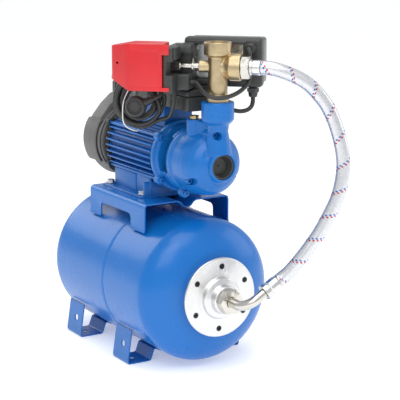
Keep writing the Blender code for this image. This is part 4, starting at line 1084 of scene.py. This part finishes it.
def build_dry_run_switch():
    cover = cover_shape(COVER_OUTLINE, COVER_Z, 7.0)
    skirts = [block(PORT, (-95, -76.5), (-50, -47.4), (23, 41.5), 0.8, 2),
              block(PORT, (-95, -76.5), (-50, -47.4), (-41, -34), 0.8, 2),
              block(PORT, (-150, -96), (-50.5, -48), (-33, 31), 1.2, 3)]
    fuse(cover, *skirts)
    inset = [(-80, -46.5), (-149, -46.5), (-182, -29), (-182, -11), (-148, 2.5), (-80, 2.5)]
    carve(cover, cover_shape(inset, (-37.5, 38), 4.0),
          block(PORT, (-175.5, -171), (-55, -30), (4.5, 8), 0.6, 2))
    finish(cover, "red_cover", RED, "dry_run_cover", edge=0.4, angle=40)

    base = block(PORT, (-88, -71), (-47, 44.5), (-45, 36), 2.5, 3)
    parts = [block(PORT, (-75, -50), (13, 44.5), (-45, 37), 4.0, 4),
             block(PORT, (-75, -50), (-11, 15), (-43, -14), 3.0, 3),
             block(PORT, (-73, -67), (-40, 8), (14, 36), 1.6, 3),
             rod(PORT, 8.5, -75, -48, "X", (2, 30), 64, 1.2),
             lathe(PORT, [(0, -60), (5.2, -60), (7.5, -44), (7.5, -40), (0, -40)], "Z",
                   MAINS_ENTRY, 48)]
    for k in range(4):
        z = -46.8 - 3.2 * k
        parts.append(lathe(PORT, [(0, z - 0.9), (8.1 - 0.55 * k, z - 0.7), (8.1 - 0.55 * k, z + 0.7),
                                  (0, z + 0.9)], "Z", MAINS_ENTRY, 48))
    fuse(base, *parts)
    carve(base, block(PORT, (-83, -60), (-60, 10), (-13, 11), 1.0, 2),
          rod(PORT, 4.2, -70, -50, "Z", MAINS_ENTRY, 32),
          rod(PORT, 4.2, -52.5, -47, "X", (0, -28.5), 32))
    finish(base, "dry_run_housing", BLACK, "dry_run_base", edge=0.3)
    knob = []
    for k in range(12):
        y, z = on_circle(8.4, 30 * k)
        knob.append(block(PORT, (-62, -49), (2 + y - 0.7, 2 + y + 0.7), (30 + z - 0.7, 30 + z + 0.7),
                          0.4, 2))
    finish(gathered(*knob), "dry_run_knob_grip", BLACK)

    profile = [(0, -33.6), (5, -33.6), (5, -67), (6.5, -67), (6.5, -82.6), (0, -82.6)]
    nipple = lathe(PORT, profile, steps=64)
    ring = lathe(PORT, [(0, -46), (7.8, -46), (8.2, -45.4), (8.2, -43.6), (7.8, -43), (0, -43)],
                 steps=64)
    lug = block(PORT, (-45.6, -43.4), (-2.5, 2.5), (4, 13), 0.8, 3)
    finish(gathered(nipple, ring, lug, hexagon(PORT, 9.6, -82.4, -67.5)), "nipple_rod", NICKEL,
           "switch_nipple")


# ---- pressure switch ------------------------------------------------------------------------

def build_pressure_switch():
    body = block(PORT, (-73, 70), (45, 72), (-42, 46.5), 7.0, 5)
    fuse(body, block(PORT, (-66, 42), (43.6, 50), (-35, 41), 1.6, 3),
         rod(PORT, 11.5, 43.2, 50, "Y", (50, 29.5), 48, 0.8))
    carve(body, block(PORT, (-60, 36), (38, 60), (-29, 35), 3.0, 3),
          rod(PORT, 15, 50, 80, "Y", (0, 0), 64), block(PORT, (42, 62), (62, 80), (-24, 36), 1.5, 2))
    finish(body, "pressure_switch_housing", BLACK, "pressure_switch_frame", edge=0.4)

    plate = block(PORT, (-59.5, 35.5), (56.3, 59.7), (-28.5, 34.5), 1.2, 3)
    spots = [(x, z) for x in (-52, 28) for z in (-21, 27)]
    fuse(plate, *rods(PORT, 5.2, 55.4, 57.5, "Y", spots, 40, 0.5),
         *rods(PORT, 3.8, 53.4, 56, "Y", spots, 40, 1.2))
    slots = []
    for x, z in spots:
        slots.append(block(PORT, (x - 2.6, x + 2.6), (52, 54.3), (z - 0.5, z + 0.5)))
        slots.append(block(PORT, (x - 0.5, x + 0.5), (52, 54.3), (z - 2.6, z + 2.6)))
    carve(plate, rod(PORT, 14.6, 50, 65, "Y", (0, 0), 64), *slots)
    finish(plate, "pressure_switch_zinc", ZINC, "pressure_switch_plate", edge=0.2)

    cover = block(PORT, (-70, 67), (72.3, 112), (-39, 44), 6.0, 5)
    carve(cover, block(PORT, (-66.5, 63.5), (66, 108.5), (-35.5, 40.5), 3.0, 3))
    finish(cover, "pressure_switch_lid", LID, "pressure_switch_cover", edge=0.4)

    cable_gland("gland_front", "Y", (50, 29.5), 44.7, 34.0, "switch_gland_front")
    cable_gland("gland_below", "Z", (52, 58), -42.3, -60.0, "switch_gland_below")


def cable_gland(name, axis, centre, seat, end, node):
    """Threaded seat, hexagonal cap nut and a rounded nose round the cable."""
    cap = hexagon(PORT, 11, seat - 8.5, seat - 1.5, 0, centre, axis)
    nose = lathe(PORT, soften([(0, seat - 7), (9.0, seat - 8), (7.5, end + 1), (6.4, end), (0, end)],
                              0.8), axis, centre, 64)
    seat_ring = rod(PORT, 7.5, seat - 3, seat, axis, centre, 48, 0.3)
    fuse(cap, nose, seat_ring)
    carve(cap, rod(PORT, 4.6, end - 3, seat + 3, axis, centre, 40))
    finish(cap, name + "_nut", BLACK, node, edge=0.2)


build_dry_run_switch()
build_pressure_switch()


# ---- plug and tie ---------------------------------------------------------------------------

PLUG = (-151.0, 2.0, -76.0)
RELIEF_ANGLE = 24.0


def build_plug():
    """Round plug lying on the coil, with its two pins and a ribbed strain relief."""
    px, py, pz = PLUG
    profile = [(0, py + 10), (16, py + 10), (19, py + 7), (19.5, py - 3), (18.6, py - 7),
               (16.5, py - 9.4), (13.5, py - 9.4), (13.0, py - 8.2), (0, py - 7.6)]
    body = lathe(PORT, soften(profile, 1.4, False, 4), "Y", (px, pz), 96)
    lean = PORT @ Matrix.Translation(PLUG) @ Matrix.Rotation(-math.radians(RELIEF_ANGLE), 4, "Y")
    relief = lathe(lean, [(0, 5), (8.0, 5), (7.2, 20), (4.9, 35), (0, 35)], steps=48)
    ribs = [relief]
    for k in range(5):
        x = 19.5 + 3.0 * k
        ribs.append(lathe(lean, [(0, x - 0.9), (7.9 - 0.5 * k, x - 0.7), (7.9 - 0.5 * k, x + 0.7),
                                 (0, x + 0.9)], steps=48))
    rings = []
    for radius in (9.0, 12.0):
        rings.append(lathe(PORT, [(radius, py - 8.6), (radius + 0.9, py - 9.0),
                                  (radius + 1.8, py - 8.6), (radius + 0.9, py - 7.6)], "Y",
                           (px, pz), 72))
    fuse(body, *ribs, *rings)
    carve(body, rod(lean, 4.0, 31, 40, "X", (0, 0), 32))
    finish(body, "plug_body", BLACK, "mains_plug", edge=0.2)
    pins = rods(PORT, 2.4, py + 9, py + 27, "Y", [(px - 9.5, pz), (px + 9.5, pz)], 40, 1.1)
    return [body, finish(gathered(*pins), "plug_pins", NICKEL)]


TIE_ROUTE = [
    (-164.0, 24.0, -36.0), (-167.5, 15.5, -47.4), (-176.0, 14.0, -65.5), (-179.0, 13.5, -83.0),
    (-178.8, 14.0, -104.0), (-173.5, 15.5, -115.5), (-162.0, 22.0, -123.0), (-156.0, 34.0, -124.6),
    (-160.0, 46.5, -112.0), (-166.0, 48.0, -90.0), (-167.0, 47.5, -62.0), (-163.0, 44.0, -42.0),
    (-161.0, 33.0, -33.0), (-164.5, 23.0, -36.8),
]


def build_tie():
    """White string that holds the coil together."""
    string = swept(PORT, catmull(TIE_ROUTE, 2.5), 1.1, 16)
    return finish(string, "cord_tie", TIE, angle=60)


plug_pieces = build_plug()
tie = build_tie()


# ---- floor and light ------------------------------------------------------------------------

FLOOR_SIZE = 60000.0
FLOOR_GLOW = 0.36
WORLD_COLOUR, WORLD_STRENGTH = (0.97, 0.985, 1.0, 1.0), 0.7
LIT_SPOT = (-150, 0, 300)
# Name, place, size in metres and power of each lamp.
LAMPS = [
    ("key", (1500, -1300, 1900), (1.6, 1.4), 15),
    ("top", (380, -165, 2300), (1.4, 2.7), 24),
    ("fill", (600, 2200, 1100), (1.4, 1.4), 8),
    ("back", (-2200, -600, 1300), (1.2, 1.2), 8),
]


def build_floor():
    bm = bmesh.new()
    bmesh.ops.create_grid(bm, x_segments=1, y_segments=1, size=FLOOR_SIZE)
    floor = as_object(bm, FLOOR)
    floor.name = "studio_floor"
    mat = bpy.data.materials.new("studio_paper")
    mat.use_nodes = True
    tree = mat.node_tree
    shader = tree.nodes["Principled BSDF"]
    shader.inputs["Roughness"].default_value = 0.9
    shader.inputs["Specular IOR Level"].default_value = 0.1
    place = tree.nodes.new("ShaderNodeTexCoord").outputs["Object"]
    cloudy = noise(tree, place, 3.0)
    wire(tree, tinted(tree, cloudy, (0.91, 0.91, 0.91), (0.93, 0.93, 0.93)),
         shader.inputs["Base Color"])
    shader.inputs["Emission Color"].default_value = (1.0, 1.0, 1.0, 1.0)
    shader.inputs["Emission Strength"].default_value = FLOOR_GLOW
    floor.data.materials.append(mat)


def area_light(name, place, size, power):
    """A soft rectangular lamp that shines on the set; place is a FLOOR point."""
    lamp = bpy.data.lights.new(name, "AREA")
    lamp.shape = "RECTANGLE"
    lamp.size, lamp.size_y = size
    lamp.energy = power
    obj = bpy.data.objects.new(name, lamp)
    bpy.context.scene.collection.objects.link(obj)
    start, end = FLOOR @ Vector(place), FLOOR @ Vector(LIT_SPOT)
    obj.location = start
    obj.rotation_mode = "QUATERNION"
    obj.rotation_quaternion = (start - end).to_track_quat("Z", "Y")


def build_light():
    world = bpy.data.worlds.new("studio")
    world.use_nodes = True
    back = world.node_tree.nodes["Background"]
    back.inputs["Color"].default_value = WORLD_COLOUR
    back.inputs["Strength"].default_value = WORLD_STRENGTH
    bpy.context.scene.world = world
    for lamp in LAMPS:
        area_light(*lamp)
    bpy.context.scene.view_settings.view_transform = "Standard"


build_floor()
build_light()
